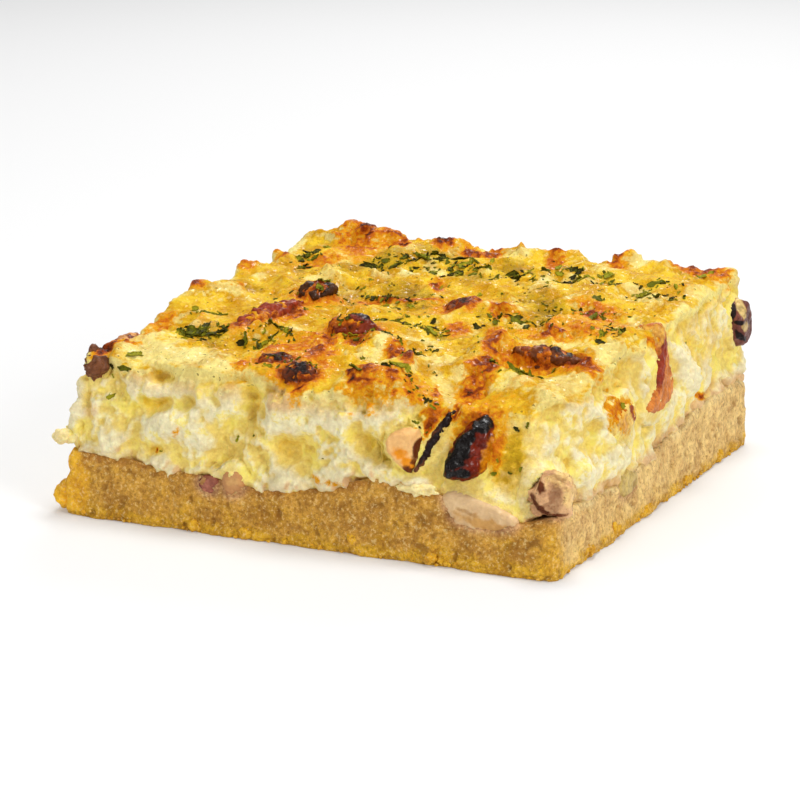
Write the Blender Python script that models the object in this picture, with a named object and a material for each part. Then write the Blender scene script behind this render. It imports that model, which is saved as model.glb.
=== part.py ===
"""A square slice of onion tart: a thick short-crust base, a deep egg and cheese filling with a baked,
browned skin, and the pieces of mushroom, bacon, poultry and onion that show in its cut faces and its top.

Metres, +Z up. The origin is the middle of the underside. The corner that comes nearest in the usual
view is at +X -Y. Lists of places are in millimetres and are scaled by MM where they are used.
"""

import math
import random

import bmesh
import bpy
import numpy as np
from mathutils import Euler, Matrix, Vector, noise
from mathutils.bvhtree import BVHTree

MM = 0.001

# Driving dimensions, in millimetres
WIDTH = 100.0
DEPTH = 103.0
PASTRY_INSIDE = 10.8
TOP_LEVEL = 33.0
TOP_TILT = 0.055
NEAR_CORNER_RADIUS = 3.0
CORNER_RADIUS = 1.6
PASTRY_TAPER = 0.7
FIT_GAP = 0.35

HALF_WIDTH = WIDTH / 2
HALF_DEPTH = DEPTH / 2

# Mesh density
SIDE_STEPS = 28

# Where the pastry's top edge runs on each side: (distance along the side, height)
FRONT_LINE = [(-50, 12.4), (-37, 12.0), (-28, 10.9), (-19, 10.7), (-8, 9.4), (3, 11.2), (14, 14.6),
              (26, 13.2), (36, 11.2), (43, 9.2), (50, 11.4)]
RIGHT_LINE = [(-51, 11.4), (-31, 10.2), (-12, 9.0), (0, 10.4), (11, 12.2), (22, 13.8), (36, 14.4), (51, 13.8)]
BACK_LINE = [(-50, 12.6), (-30, 11.2), (-12, 12.8), (8, 10.6), (27, 11.8), (50, 13.6)]
LEFT_LINE = [(-51, 12.4), (-30, 11.6), (-8, 13.2), (14, 10.8), (33, 12.6), (51, 12.6)]

# Humps and hollows of the baked top: x, y, half length, half width, turn in degrees, rise
TOP_FORMS = [
    (-47, 31, 5.0, 11.0, 0, -1.9),
    (-36.5, 46, 4.0, 3.6, 0, 4.4),
    (-29, 46, 4.0, 3.2, 0, 1.5),
    (-45, 42, 3.4, 4.0, 0, 0.5),
    (-24, 46, 3.0, 3.0, 0, -0.8),
    (-16, 46, 6.0, 3.0, 0, 0.6),
    (-3, 47, 5.0, 3.0, 0, 1.2),
    (7, 46, 6.0, 3.5, 10, 3.8),
    (25, 47, 2.6, 2.4, 0, 3.0),
    (17, 46, 3.0, 3.0, 0, -1.2),
    (38, 47, 9.0, 2.6, 0, 0.9),
    (-46, -9, 8.5, 4.6, 88, 2.8),
    (-46, 14, 3.0, 3.0, 0, 0.8),
    (-44, -24, 12.0, 7.0, 70, -2.0),
    (-24, 28, 13.0, 4.0, 12, -2.0),
    (-30, 12, 14.0, 3.5, 65, 1.4),
    (-10, 33, 12.0, 4.0, -10, 1.4),
    (-12, 8, 11.0, 5.0, -35, -1.8),
    (4, 8, 7.5, 5.0, -20, -1.4),
    (-1, -15, 7.0, 4.0, 10, 1.8),
    (4, -24, 3.5, 5.0, 20, 2.4),
    (-26, -17, 13.0, 4.0, 70, 1.2),
    (13, -37, 4.5, 3.5, 30, 3.0),
    (13, -45, 7.0, 3.6, -12, 2.4),
    (24, -22, 10.0, 3.0, 98, 3.2),
    (33, -25, 9.0, 4.0, -25, -2.0),
    (27, -38, 9.0, 3.6, -20, -2.2),
    (37, -36, 7.0, 4.0, -25, 1.2),
    (17, 3, 8.0, 3.5, 20, 2.2),
    (36, -2, 8.0, 4.5, -20, 2.0),
    (33, 9, 9.0, 3.5, -25, -1.6),
    (20, 22, 10.0, 5.0, 0, 1.8),
    (40, 24, 8.0, 7.0, 20, -1.0),
    (2, 33, 9.0, 4.0, 15, -1.4),
    (28, 36, 10.0, 4.0, -5, 1.2),
    (-20, -32, 10.0, 6.0, 20, -1.2),
    (-6, -43, 8.0, 3.6, -5, 1.4),
    (-34, -40, 8.0, 7.0, 10, 0.8),
    (44, -12, 4.0, 7.0, 0, 0.8),
]

# Humps and hollows of the walls: side, place along it, height, half length, half height, turn, rise
WALL_FORMS = [
    ("front", -30.0, 28.4, 2.8, 1.6, -18, -1.7),
    ("front", -29.9, 23.2, 2.8, 1.5, 14, -1.7),
    ("front", -30.8, 14.4, 2.4, 1.5, 0, -1.3),
    ("front", -11.4, 25.6, 2.0, 6.0, 14, -2.8),
    ("front", -1.0, 25.6, 8.0, 4.2, 4, 1.8),
    ("front", -1.0, 17.6, 8.0, 4.0, 0, -1.5),
    ("front", 8.3, 21.0, 2.4, 8.0, 0, 1.7),
    ("front", 14.4, 19.4, 4.6, 2.4, -38, -2.8),
    ("front", 13.4, 26.0, 4.4, 2.4, -12, 1.4),
    ("front", -22.6, 26.2, 5.4, 4.0, -20, 1.3),
    ("front", -23.0, 20.8, 6.0, 2.6, 0, 0.6),
    ("front", -45.0, 15.4, 5.0, 3.0, 0, 1.3),
    ("left", -47.0, 16.4, 7.0, 3.4, 0, 1.8),
    ("left", -48.0, 23.0, 5.0, 4.0, 0, 1.3),
    ("front", 22.6, 14.4, 4.0, 1.3, -22, 1.2),
    ("right", 18.0, 21.6, 3.0, 6.0, 20, 1.0),
    ("right", -12.0, 29.6, 4.4, 3.0, 0, -1.6),
    ("right", -7.3, 28.0, 2.0, 1.6, 0, -1.2),
    ("right", 0.0, 15.0, 10.0, 2.4, 20, 0.9),
    ("right", 24.0, 27.0, 5.0, 3.4, -20, -1.0),
    ("right", 34.0, 19.0, 7.0, 3.6, -20, -0.9),
    ("right", -28.0, 17.0, 7.0, 4.0, 20, 0.6),
    ("left", -38.0, 22.0, 6.0, 4.0, 0, -1.4),
    ("left", -12.0, 20.0, 9.0, 5.0, 10, 1.2),
    ("left", 16.0, 24.0, 7.0, 4.0, -15, -1.5),
    ("left", 36.0, 19.0, 7.0, 5.0, 0, 1.1),
    ("back", -32.0, 24.0, 8.0, 4.0, 10, 1.2),
    ("back", -8.0, 20.0, 6.0, 5.0, 0, -1.5),
    ("back", 14.0, 26.0, 7.0, 4.0, -10, 1.1),
    ("back", 34.0, 19.0, 6.0, 4.0, 0, -1.3),
]

# Pieces cut through with the tart: the face they show in, where that face lies at the piece's middle, its
# slope along and up, the corners of the piece, how far it stands out and how deep it goes
CUT_PIECES = {
    "chicken_chunk": ("front", -49.3, 0.28, 0.2, 1.9, 6.0,
                      [(16.3, 20.7), (17.4, 23.8), (21.8, 24.5), (22.8, 21.6), (22.2, 15.6), (19.3, 17.2)]),
    "mushroom_edge": ("front", -47.0, 0.3, 0.5, 0.8, 5.0,
                      [(21.8, 16.2), (23.1, 19.8), (23.9, 23.2), (26.4, 27.0), (27.3, 26.0), (25.2, 21.6), (23.5, 17.2)]),
    "charred_onion": ("front", -46.6, 0.12, 0.55, 2.1, 5.5,
                      [(27.0, 16.8), (29.2, 15.4), (34.2, 16.2), (35.6, 20.6), (35.0, 25.6), (32.4, 26.5), (28.8, 23.8)]),
    "red_onion_left": ("front", -50.7, 0, 0, 0.9, 3.0,
                       [(-21.4, 9.4), (-20.4, 11.0), (-17.6, 11.4), (-16.6, 9.7), (-17.6, 7.7), (-20.2, 7.7)]),
    "red_onion_right": ("front", -50.8, 0, 0, 1.0, 3.2,
                        [(-16.5, 11.4), (-14.5, 13.0), (-12.1, 12.4), (-11.3, 10.4), (-12.4, 8.0), (-15.2, 7.3)]),
    "onion_layer": ("front", -50.3, 0, 0, 0.7, 3.2,
                    [(27.2, 12.4), (29.0, 14.4), (33.0, 13.4), (40.2, 11.4), (42.5, 10.2), (42.3, 8.4), (39.8, 7.6), (30.6, 7.0)]),
    "bacon_strip": ("right", 49.0, 0, -0.1, 0.9, 4.2,
                    [(1.8, 35.0), (5.2, 34.6), (6.0, 28.0), (7.2, 22.6), (6.0, 19.6), (-1.4, 18.4), (-7.0, 20.0),
                     (-5.0, 22.2), (0.2, 24.4)]),
    "onion_sliver": ("right", 49.2, 0, -0.1, 0.8, 2.6,
                     [(-14.0, 24.8), (-11.6, 22.4), (-12.6, 20.0), (-15.8, 18.4), (-23.2, 18.6), (-25.0, 22.0)]),
    "mushroom_slice": ("right", 48.9, -0.05, 0, 2.4, 3.2,
                       [(41.4, 26.4), (42.8, 30.2), (46.2, 31.4), (49.2, 29.0), (50.2, 25.4), (48.6, 21.8), (45.0, 20.8),
                        (42.2, 22.8)]),
    "onion_bit_right": ("right", 49.3, 0, 0, 0.5, 2.4,
                        [(-19.4, 10.6), (-13.6, 11.4), (-9.8, 9.4), (-11.0, 6.4), (-16.6, 5.9), (-20.0, 7.6)]),
}

# Pieces that lie in the skin or at a corner: place, full size, turn, flat sides, hardness of the edges, seed
LOOSE_PIECES = {
    "corner_mushroom": ((47.4, -47.4, 14.7), (7.6, 7.8, 7.8), (8, -12, 24), 8, 12, 8),
    "mushroom_left": ((-43.8, -47.6, 29.0), (4.6, 6.2, 5.6), (12, 0, -8), 7, 10, 61),
    "mushroom_rind": ((-45.4, -35.6, 29.5), (3.8, 15.0, 2.8), (2, 0, 3), 7, 10, 63),
    "dark_chunk": ((-4.8, -19.4, 33.2), (9.6, 5.6, 5.0), (24, 3, 4), 7, 16, 71),
    "red_strip": ((-25.0, -15.0, 33.0), (4.4, 20.0, 3.6), (4, 0, -14), 7, 10, 73),
    "charred_tip": ((-22.6, 1.0, 34.4), (6.8, 6.6, 4.2), (6, -4, -20), 7, 14, 77),
    "brown_slice": ((7.4, 6.0, 33.5), (8.4, 6.6, 3.4), (8, -3, -12), 7, 12, 79),
    "charred_strip": ((35.4, -21.2, 32.2), (13.0, 4.8, 3.8), (10, 4, -2), 7, 12, 81),
    "charred_front": ((-2.4, -46.4, 31.0), (5.8, 5.4, 3.6), (16, 2, -6), 7, 12, 83),
    "charred_leaf": ((-9.4, -41.8, 31.6), (7.4, 5.0, 2.8), (8, 2, -12), 7, 12, 87),
}

# Lumps fused to the pastry and to the filling: place, full size
PASTRY_LUMPS = [
    ((-50.4, -46.6, 3.1), (5.0, 9.0, 6.4)),
    ((-22.0, -51.3, 1.2), (2.6, 1.8, 2.2)),
    ((-11.2, -51.3, 1.0), (3.4, 1.7, 1.9)),
    ((10.4, -51.4, 2.9), (1.9, 1.6, 2.4)),
    ((25.8, -51.5, 1.3), (2.3, 2.0, 2.4)),
    ((49.8, -35.0, 1.4), (1.8, 4.4, 2.4)),
    ((49.8, -22.0, 1.5), (1.8, 3.8, 2.6)),
    ((49.7, -6.0, 1.3), (1.8, 4.6, 2.2)),
    ((49.6, 16.0, 1.2), (1.8, 4.0, 2.0)),
    ((49.6, 35.0, 1.3), (1.8, 4.2, 2.1)),
]
FILLING_LUMPS = [
    ((-50.0, -50.0, 14.6), (4.2, 3.4, 3.2)),
    ((23.0, -50.7, 13.7), (7.4, 3.2, 2.2)),
]

PASTRY_SEED = 100
FILLING_SEED = 200

# Parsley: x, y and length of the leaves that stand out, then how many more, of what size
PARSLEY = [
    (-33, -30, 5.4), (-29, -28, 4.2), (-20, -22, 3.6), (-19, -29, 3.4), (-37, -46, 3.4), (-38, 26, 4.0),
    (-40, 33, 3.6), (-25, 27, 4.4), (-14, 32, 4.0), (-7, 35, 4.2), (-1, 32, 4.0), (6, 31, 3.4),
    (19, 33, 3.6), (20, 26, 3.2), (37, 31, 3.4), (40, 23, 3.6), (43, 43, 4.0), (30, 17, 3.4),
    (35, 3, 3.6), (30, 6, 3.4), (43, -4, 3.2), (21, -2, 3.2), (8, -12, 3.4), (16, -8, 3.2),
    (33, -31, 3.6), (16, -44, 4.0), (9, -47, 3.2), (-8, -10, 3.2), (-26, 12, 3.6), (40, -6, 3.0),
]
MORE_PARSLEY = 8
MORE_PARSLEY_LENGTH = (2.8, 3.4)
PARSLEY_THICKNESS = 0.9
PARSLEY_SEED = 7


def smooth_step(low, high, value):
    """0 below low, 1 above high and an even curve between."""
    share = np.clip((np.asarray(value, float) - low) / (high - low), 0, 1)
    return share * share * (3 - 2 * share)


def line_height(line, along):
    """Height of a side's pastry line at a distance along it."""
    places, heights = zip(*line)
    return np.interp(along, places, heights)


def pastry_top(x, y):
    """Height of the pastry's top: each side keeps its own wavy line, and the inside is level."""
    reach, nearest = 9.0, 0.5
    sides = [
        (y + HALF_DEPTH, line_height(FRONT_LINE, x)),
        (HALF_WIDTH - x, line_height(RIGHT_LINE, y)),
        (HALF_DEPTH - y, line_height(BACK_LINE, x)),
        (x + HALF_WIDTH, line_height(LEFT_LINE, y)),
    ]
    weights = np.full_like(np.asarray(x, float), reach**-2)
    total = weights * PASTRY_INSIDE
    for away, height in sides:
        weight = (np.abs(away) + nearest) ** -2
        weights = weights + weight
        total = total + weight * height
    return total / weights


def plan_point(across, along, half_width, half_depth):
    """A point of the square from -1 to 1, spread over a rectangle with round corners."""
    x = np.asarray(across, float) * half_width
    y = np.asarray(along, float) * half_depth
    radius = np.where((x > 0) & (y < 0), NEAR_CORNER_RADIUS, CORNER_RADIUS)
    u = np.clip((np.abs(x) - (half_width - radius)) / radius, 0, 1)
    v = np.clip((np.abs(y) - (half_depth - radius)) / radius, 0, 1)
    round_x = radius * (u - u * np.sqrt(1 - v * v / 2))
    round_y = radius * (v - v * np.sqrt(1 - u * u / 2))
    return x - np.sign(x) * round_x, y - np.sign(y) * round_y


def noise_at(points, wavelength, seed=0.0):
    """Smooth noise from -1 to 1 at points in millimetres."""
    shift = Vector((seed, 2.3 * seed, -1.7 * seed))
    return np.array([noise.noise(Vector(p) / wavelength + shift) for p in points])


def jog_at(place):
    """A smooth push in a direction that changes from place to place. noise_vector isn't the same in every run."""
    shifts = (Vector((9.3, -1.5, -7.9)), Vector((-3.1, 6.7, 2.2)), Vector((4.4, 8.6, -5.3)))
    return Vector([noise.noise(place + shift) for shift in shifts])


def curds_at(points, size, seed=0.0):
    """Round lumps with creases between them: 1 in the middle of a lump and 0 in a crease."""
    shift = Vector((seed, -seed, 0.5 * seed))
    heights = []
    for point in points:
        place = Vector(point) / size + shift
        place += 0.35 * jog_at(place * 1.3)
        nearest = noise.voronoi(place)[0][0]
        heights.append(math.sqrt(max(0.0, 1 - (nearest / 0.95) ** 2)))
    return np.array(heights)


def slump(x):
    """How far the front of the filling has slumped, from 0 on the left to 1 at the near corner."""
    return smooth_step(15, 29, x)


def top_height(x, y):
    """Height of the baked top before its fine relief."""
    height = TOP_LEVEL + TOP_TILT * np.asarray(y, float)
    for place_x, place_y, length, width, turn, rise in TOP_FORMS:
        cosine, sine = math.cos(math.radians(turn)), math.sin(math.radians(turn))
        along = (cosine * (x - place_x) + sine * (y - place_y)) / length
        across = (cosine * (y - place_y) - sine * (x - place_x)) / width
        height = height + rise * np.exp(-along * along - across * across)
    near_edge = np.minimum(HALF_WIDTH - np.abs(x), HALF_DEPTH - np.abs(y))
    return height - 1.4 * np.exp(-np.maximum(near_edge, 0) / 1.6)


def filling_point(across, along, up):
    """Points of the filling in millimetres: across and along from -1 to 1, up from 0 at the pastry to 1."""
    half_width, half_depth = HALF_WIDTH - PASTRY_TAPER + 0.2, HALF_DEPTH - PASTRY_TAPER + 0.2
    x, y = plan_point(across, along, half_width, half_depth)
    low = pastry_top(x, y) + FIT_GAP
    lean = 0.4 * up + 1.8 * up**4
    moved_x = x * (1 - lean / HALF_WIDTH)
    moved_y = y * (1 - lean / HALF_DEPTH)
    front = smooth_step(-14, -HALF_DEPTH, y)
    corner = smooth_step(44, 49.5, x)
    back = slump(x) * (0.6 + 6.6 * up) + corner * (9.0 * (1 - up) ** 0.5 + 4.4 * up)
    moved_y = moved_y + front * back
    left_corner = np.exp(-((HALF_WIDTH + x) ** 2 + (HALF_DEPTH + y) ** 2) / 60)
    moved_x = moved_x + 3.6 * left_corner * up
    moved_y = moved_y + 1.2 * left_corner * up
    right = smooth_step(30, HALF_WIDTH, x) * smooth_step(-40, -HALF_DEPTH, y)
    moved_x = moved_x - right * 1.2
    drop = slump(x) * smooth_step(-34, -46, y) * 2.2
    high = top_height(moved_x, moved_y) - drop
    return np.column_stack([moved_x, moved_y, low + (high - low) * up])


def wall_forms(points, normals):
    """Rise of the larger humps and hollows of the walls."""
    x, y, z = points.T
    facing = {"front": (-normals[:, 1], x), "right": (normals[:, 0], y), "back": (normals[:, 1], x),
              "left": (-normals[:, 0], y)}
    total = np.zeros(len(points))
    for side, place, height, length, tall, turn, rise in WALL_FORMS:
        towards, along = facing[side]
        cosine, sine = math.cos(math.radians(turn)), math.sin(math.radians(turn))
        u = (cosine * (along - place) + sine * (z - height)) / length
        v = (cosine * (z - height) - sine * (along - place)) / tall
        total += rise * np.exp(-u * u - v * v) * smooth_step(0.3, 0.8, towards)
    return total


def pastry_point(across, along, up):
    """Points of the pastry in millimetres, with its taper and a worn bottom edge."""
    inset = PASTRY_TAPER * up + 0.3 * (1 - smooth_step(0, 0.1, up)) + 0.4 * smooth_step(0.9, 1, up)
    x, y = plan_point(across, along, HALF_WIDTH, HALF_DEPTH)
    x = x * (1 - inset / HALF_WIDTH)
    y = y * (1 - inset / HALF_DEPTH)
    return np.column_stack([x, y, up * pastry_top(x, y)])


def border(steps):
    """The square's edge, anticlockwise from its front left corner, as places on a grid."""
    run = range(steps)
    front = [(i, 0) for i in run]
    right = [(steps, i) for i in run]
    back = [(steps - i, steps) for i in run]
    left = [(0, steps - i) for i in run]
    return front + right + back + left


def shelf(gap):
    """The rings where pastry and filling meet: how far each lies inside the edge, and its height."""
    return [
        (2.2, lambda x, y: pastry_top(x, y) + gap),
        (5.4, lambda x, y: pastry_top(x, y) + gap),
        (9.6, lambda x, y: np.full_like(x, PASTRY_INSIDE + gap)),
    ]


def slab_mesh(steps, rows, place, under, over):
    """Points and faces of a closed slab, and how many of its points, the first ones, are in its outer skin.
    rows are its heights from 0 to 1, and place turns a grid place into a point. under and over are rings
    inside its lower and upper edge, with a flat face inside the last one. over may be None: the top then is
    a full grid."""
    edge = border(steps)
    count = len(edge)
    across, along, up = [], [], []
    for row in rows:
        across += [2 * i / steps - 1 for i, _ in edge]
        along += [2 * j / steps - 1 for _, j in edge]
        up += [row] * count
    faces = []
    for row in range(len(rows) - 1):
        for k in range(count):
            a, b = row * count + k, row * count + (k + 1) % count
            faces.append((a, b, b + count, a + count))
    top_start = (len(rows) - 1) * count
    number = {spot: top_start + k for k, spot in enumerate(edge)}
    if over is None:
        for i in range(1, steps):
            for j in range(1, steps):
                number[i, j] = len(across)
                across.append(2 * i / steps - 1)
                along.append(2 * j / steps - 1)
                up.append(1.0)
        for i in range(steps):
            for j in range(steps):
                faces.append((number[i, j], number[i + 1, j], number[i + 1, j + 1], number[i, j + 1]))
    points = place(np.array(across), np.array(along), np.array(up))
    for start, rings, upside_down in ((0, under, True), (top_start, over, False)):
        if rings is None:
            continue
        outer, outline = start, points[start:start + count]
        for inward, height in rings:
            x, y = (outline[:, :2] * (1 - inward / HALF_WIDTH)).T
            first = len(points)
            points = np.vstack([points, np.column_stack([x, y, height(x, y)])])
            for k in range(count):
                after = (k + 1) % count
                face = (outer + k, outer + after, first + after, first + k)
                faces.append(face[::-1] if upside_down else face)
            outer = first
        loop = tuple(range(outer, outer + count))
        faces.append(loop[::-1] if upside_down else loop)
    return points, faces, len(across)


def triangulate(mesh):
    """Splits a mesh's faces into triangles."""
    shape = bmesh.new()
    shape.from_mesh(mesh)
    bmesh.ops.triangulate(shape, faces=shape.faces)
    shape.to_mesh(mesh)
    shape.free()
    mesh.update()


def mesh_of(name, points, faces):
    """A mesh of triangles in metres from points in millimetres, rounded so that every run gives the same one."""
    mesh = bpy.data.meshes.new(name)
    mesh.from_pydata([tuple(p) for p in np.round(points, 4) * MM], [], faces)
    triangulate(mesh)
    return mesh


def vertex_normals(points, faces):
    """Outward directions at the points of a mesh."""
    mesh = mesh_of("normals", points, faces)
    normals = np.empty(len(points) * 3)
    mesh.vertex_normals.foreach_get("vector", normals)
    bpy.data.meshes.remove(mesh)
    return normals.reshape(-1, 3)


def material(name, colour, roughness):
    """A plain finish for one kind of food."""
    made = bpy.data.materials.new(name)
    made.use_nodes = True
    shader = made.node_tree.nodes["Principled BSDF"]
    shader.inputs["Base Color"].default_value = (*colour, 1)
    shader.inputs["Roughness"].default_value = roughness
    shader.inputs["Metallic"].default_value = 0
    made.diffuse_color = (*colour, 1)
    return made


def add_object(name, mesh, finish):
    """A named object in the scene, shaded smooth, with one material."""
    made = bpy.data.objects.new(name, mesh)
    bpy.context.scene.collection.objects.link(made)
    mesh.materials.clear()
    mesh.materials.append(finish)
    mesh.shade_smooth()
    return made


def add_filling(finish):
    """The egg and cheese filling: a curdled wall all round and a baked, uneven skin."""
    rows = [0, 0.16, 0.33, 0.5, 0.67, 0.83, 0.95, 1]
    points, faces, outside = slab_mesh(SIDE_STEPS, rows, filling_point, shelf(FIT_GAP), None)
    normals = vertex_normals(points, faces)[:outside]
    skin = points[:outside]
    x, y, z = skin.T
    wall = 1 - smooth_step(0.25, 0.75, np.abs(normals[:, 2]))
    baked = slump(x) * smooth_step(-38, -44, y)
    curds = 1.6 * (curds_at(skin, 8.5, 1.3) - 0.8) + 1.2 * noise_at(skin, 7.5, 5.1) + 0.3
    folds = 0.8 * noise_at(skin, 9.0, 3.0) + 0.4 * noise_at(skin, 4.6, 8.0)
    relief = wall * (1 - 0.8 * baked) * curds + (1 - wall) * folds + wall_forms(skin, normals)
    edge = 4 * SIDE_STEPS
    normals[:edge, 2] = 0
    points[:outside] += normals * relief[:, None]
    floor = pastry_top(points[:outside, 0], points[:outside, 1]) + FIT_GAP
    points[:outside, 2] = np.maximum(points[:outside, 2], floor)
    return add_object("filling", mesh_of("filling", points, faces), finish)


def add_pastry(finish):
    """The short-crust base, with a sandy, slightly uneven face and a flat underside."""
    rows = [0, 0.14, 0.5, 0.88, 1]
    points, faces, outside = slab_mesh(SIDE_STEPS, rows, pastry_point, [], shelf(0.0))
    normals = vertex_normals(points, faces)[:outside]
    skin = points[:outside]
    relief = 0.45 * noise_at(skin, 6.0, 4.0) + 0.3 * noise_at(skin, 2.8, 9.0)
    points[:outside, :2] += normals[:, :2] * relief[:, None]
    return add_object("pastry", mesh_of("pastry", points, faces), finish)


def facet_normals(sides, seed):
    """Directions of a chunk's flat sides, spread evenly and then jogged."""
    draw = random.Random(seed)
    golden = math.pi * (3 - math.sqrt(5))
    directions = []
    for k in range(sides):
        height = 1 - 2 * (k + 0.5) / sides
        ring = math.sqrt(1 - height * height)
        way = Vector((math.cos(golden * k) * ring, math.sin(golden * k) * ring, height))
        way += Vector([draw.uniform(-0.35, 0.35) for _ in range(3)])
        directions.append((way.normalized(), draw.uniform(0.82, 1.05)))
    return directions


def chunk_mesh(name, size, turn, sides, hardness, seed, detail, swell=0.0):
    """A chunk with flat sides and worn edges, swollen by some millimetres if it is to cut a pocket."""
    shape = bmesh.new()
    bmesh.ops.create_icosphere(shape, subdivisions=detail, radius=1)
    facets = facet_normals(sides, seed)
    turned = Euler([math.radians(a) for a in turn]).to_matrix()
    shift = Vector((seed, -seed, 0.3 * seed))
    for vertex in shape.verts:
        way = vertex.co.normalized()
        nearness = sum(max(0.0, way.dot(facet) / reach) ** hardness for facet, reach in facets)
        radius = min(1.12, nearness ** (-1 / hardness)) * (1 + 0.05 * noise.noise(way * 2.2 + shift))
        vertex.co = turned @ Vector([way[k] * (radius * size[k] / 2 + swell) for k in range(3)]) * MM
    made = bpy.data.meshes.new(name)
    shape.to_mesh(made)
    shape.free()
    return made


def round_corners(corners):
    """Cuts each corner of an outline once, a quarter of the way along its sides."""
    rounded = []
    for k, corner in enumerate(corners):
        here, after = Vector(corner), Vector(corners[(k + 1) % len(corners)])
        rounded += [here.lerp(after, 0.25), here.lerp(after, 0.75)]
    return rounded


def outline_width(outline):
    """The usual width of an outline: its area over half its length all round."""
    pairs = list(zip(outline, outline[1:] + outline[:1]))
    area = abs(sum(a.x * b.y - b.x * a.y for a, b in pairs)) / 2
    return 2 * area / sum((b - a).length for a, b in pairs)


def outline_moved(outline, distance):
    """An outline moved outward by a distance along its normals."""
    area = sum(a.x * b.y - b.x * a.y for a, b in zip(outline, outline[1:] + outline[:1]))
    turn = 1 if area > 0 else -1
    moved = []
    for k, point in enumerate(outline):
        side = outline[(k + 1) % len(outline)] - outline[k - 1]
        moved.append(point + Vector((side.y, -side.x)).normalized() * distance * turn)
    return moved


def cut_piece_mesh(name, swell=0.0):
    """A piece that was cut through with the tart: its outline runs inward from the cut face."""
    face, level, slope_along, slope_up, rise, depth, corners = CUT_PIECES[name]
    outline = round_corners(corners)
    middle = sum(outline, Vector((0, 0))) / len(outline)
    ease = min(1.1, 0.3 * outline_width(outline))
    layers = [(-depth - swell, -ease), (-0.4, 0.0), (0.62 * rise + swell, -0.4 * ease), (rise + swell, -ease)]
    points = []
    for out, inset in layers:
        for p in outline_moved(outline, inset + swell):
            points.append((p.x, p.y, out))
    count = len(outline)
    faces = []
    for layer in range(len(layers) - 1):
        for k in range(count):
            a, b = layer * count + k, layer * count + (k + 1) % count
            faces.append((a, b, b + count, a + count))
    top = count * (len(layers) - 1)
    faces.append(tuple(reversed(range(count))))
    faces.append(tuple(range(top, top + count)))
    placed_points = []
    for along, up, out in points:
        surface = level + slope_along * (along - middle.x) + slope_up * (up - middle.y)
        placed_points.append((along, surface - out, up) if face == "front" else (surface + out, along, up))
    made = mesh_of(name, placed_points, faces)
    shape = bmesh.new()
    shape.from_mesh(made)
    if shape.calc_volume(signed=True) < 0:
        bmesh.ops.reverse_faces(shape, faces=shape.faces)
    shape.to_mesh(made)
    shape.free()
    return made


def lump_mesh(name, size, seed, swell=0.0):
    """A small crumb of pastry or drip of filling."""
    return chunk_mesh(name, size, (0, 0, 25 * seed), 9, 5, seed, 2, swell)


def leaf_mesh(name, length, seed):
    """A torn, slightly folded parsley leaf, thick enough to stay a solid."""
    draw = random.Random(seed)
    points, faces = [], []
    corners = 7
    radii = [draw.uniform(0.7, 1.1) for _ in range(corners)]
    width = draw.uniform(0.4, 0.62)
    for side in (-0.5, 0.5):
        for k, radius in enumerate(radii):
            angle = 2 * math.pi * k / corners
            x = length / 2 * radius * math.cos(angle)
            y = length / 2 * radius * width * math.sin(angle)
            points.append((x, y, side * PARSLEY_THICKNESS + 0.25 * abs(y)))
    for k in range(corners):
        after = (k + 1) % corners
        faces.append((k, after, after + corners, k + corners))
    faces.append(tuple(reversed(range(corners))))
    faces.append(tuple(range(corners, 2 * corners)))
    return mesh_of(name, points, faces)


def placed(mesh, at, collection):
    """An object that holds a mesh at a place in millimetres, in a working collection."""
    made = bpy.data.objects.new(mesh.name, mesh)
    made.location = Vector(at) * MM
    collection.objects.link(made)
    return made


def working_collection(name):
    """A collection for cutters or for lumps to be fused, which isn't part of the model."""
    made = bpy.data.collections.new(name)
    bpy.context.scene.collection.children.link(made)
    return made


def apply_boolean(target, operation, collection, solver):
    """Joins to the target, or cuts from it, everything in a collection, and removes the collection."""
    step = target.modifiers.new(operation.lower(), "BOOLEAN")
    step.operation = operation
    step.operand_type = "COLLECTION"
    step.collection = collection
    step.solver = solver
    bpy.context.view_layer.update()
    graph = bpy.context.evaluated_depsgraph_get()
    result = bpy.data.meshes.new_from_object(target.evaluated_get(graph))
    target.modifiers.remove(step)
    triangulate(result)
    old = target.data
    target.data = result
    bpy.data.meshes.remove(old)
    for item in list(collection.objects):
        bpy.data.objects.remove(item)
    bpy.data.collections.remove(collection)


def work_lumps(target, operation, lumps, seed, swell=0.0):
    """Fuses crumbs or drips to a solid, or cuts the room that they need from it."""
    collection = working_collection(target.name + "_lumps")
    for number, (at, size) in enumerate(lumps):
        placed(lump_mesh(f"{target.name}_lump_{number}", size, seed + number, swell), at, collection)
    apply_boolean(target, operation, collection, "EXACT")


def piece_mesh(name, swell=0.0):
    """The mesh of one piece, at its turn, and its place."""
    if name in CUT_PIECES:
        return cut_piece_mesh(name, swell), (0, 0, 0)
    at, size, turn, sides, hardness, seed = LOOSE_PIECES[name]
    detail = 3 if min(size) > 6 else 2
    return chunk_mesh(name, size, turn, sides, hardness, seed, detail, swell), at


def cut_pockets(target, names):
    """Cuts the pieces' pockets from a solid, with a little room round each piece."""
    collection = working_collection(target.name + "_pockets")
    for name in names:
        mesh, at = piece_mesh(name, swell=FIT_GAP)
        mesh.name = f"{target.name}_{name}"
        placed(mesh, at, collection)
    apply_boolean(target, "DIFFERENCE", collection, "EXACT")


def keep_apart(piece, earlier):
    """Cuts from a piece the pieces before it that reach into its room."""
    def room(item):
        corners = [item.location + v.co for v in item.data.vertices]
        return [(min(c[k] for c in corners) / MM, max(c[k] for c in corners) / MM) for k in range(3)]
    own = room(piece)
    names = []
    for other in earlier:
        theirs = room(other)
        if all(low < high2 + FIT_GAP and low2 < high + FIT_GAP for (low, high), (low2, high2) in zip(own, theirs)):
            names.append(other.name)
    if names:
        cut_pockets(piece, names)


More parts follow.
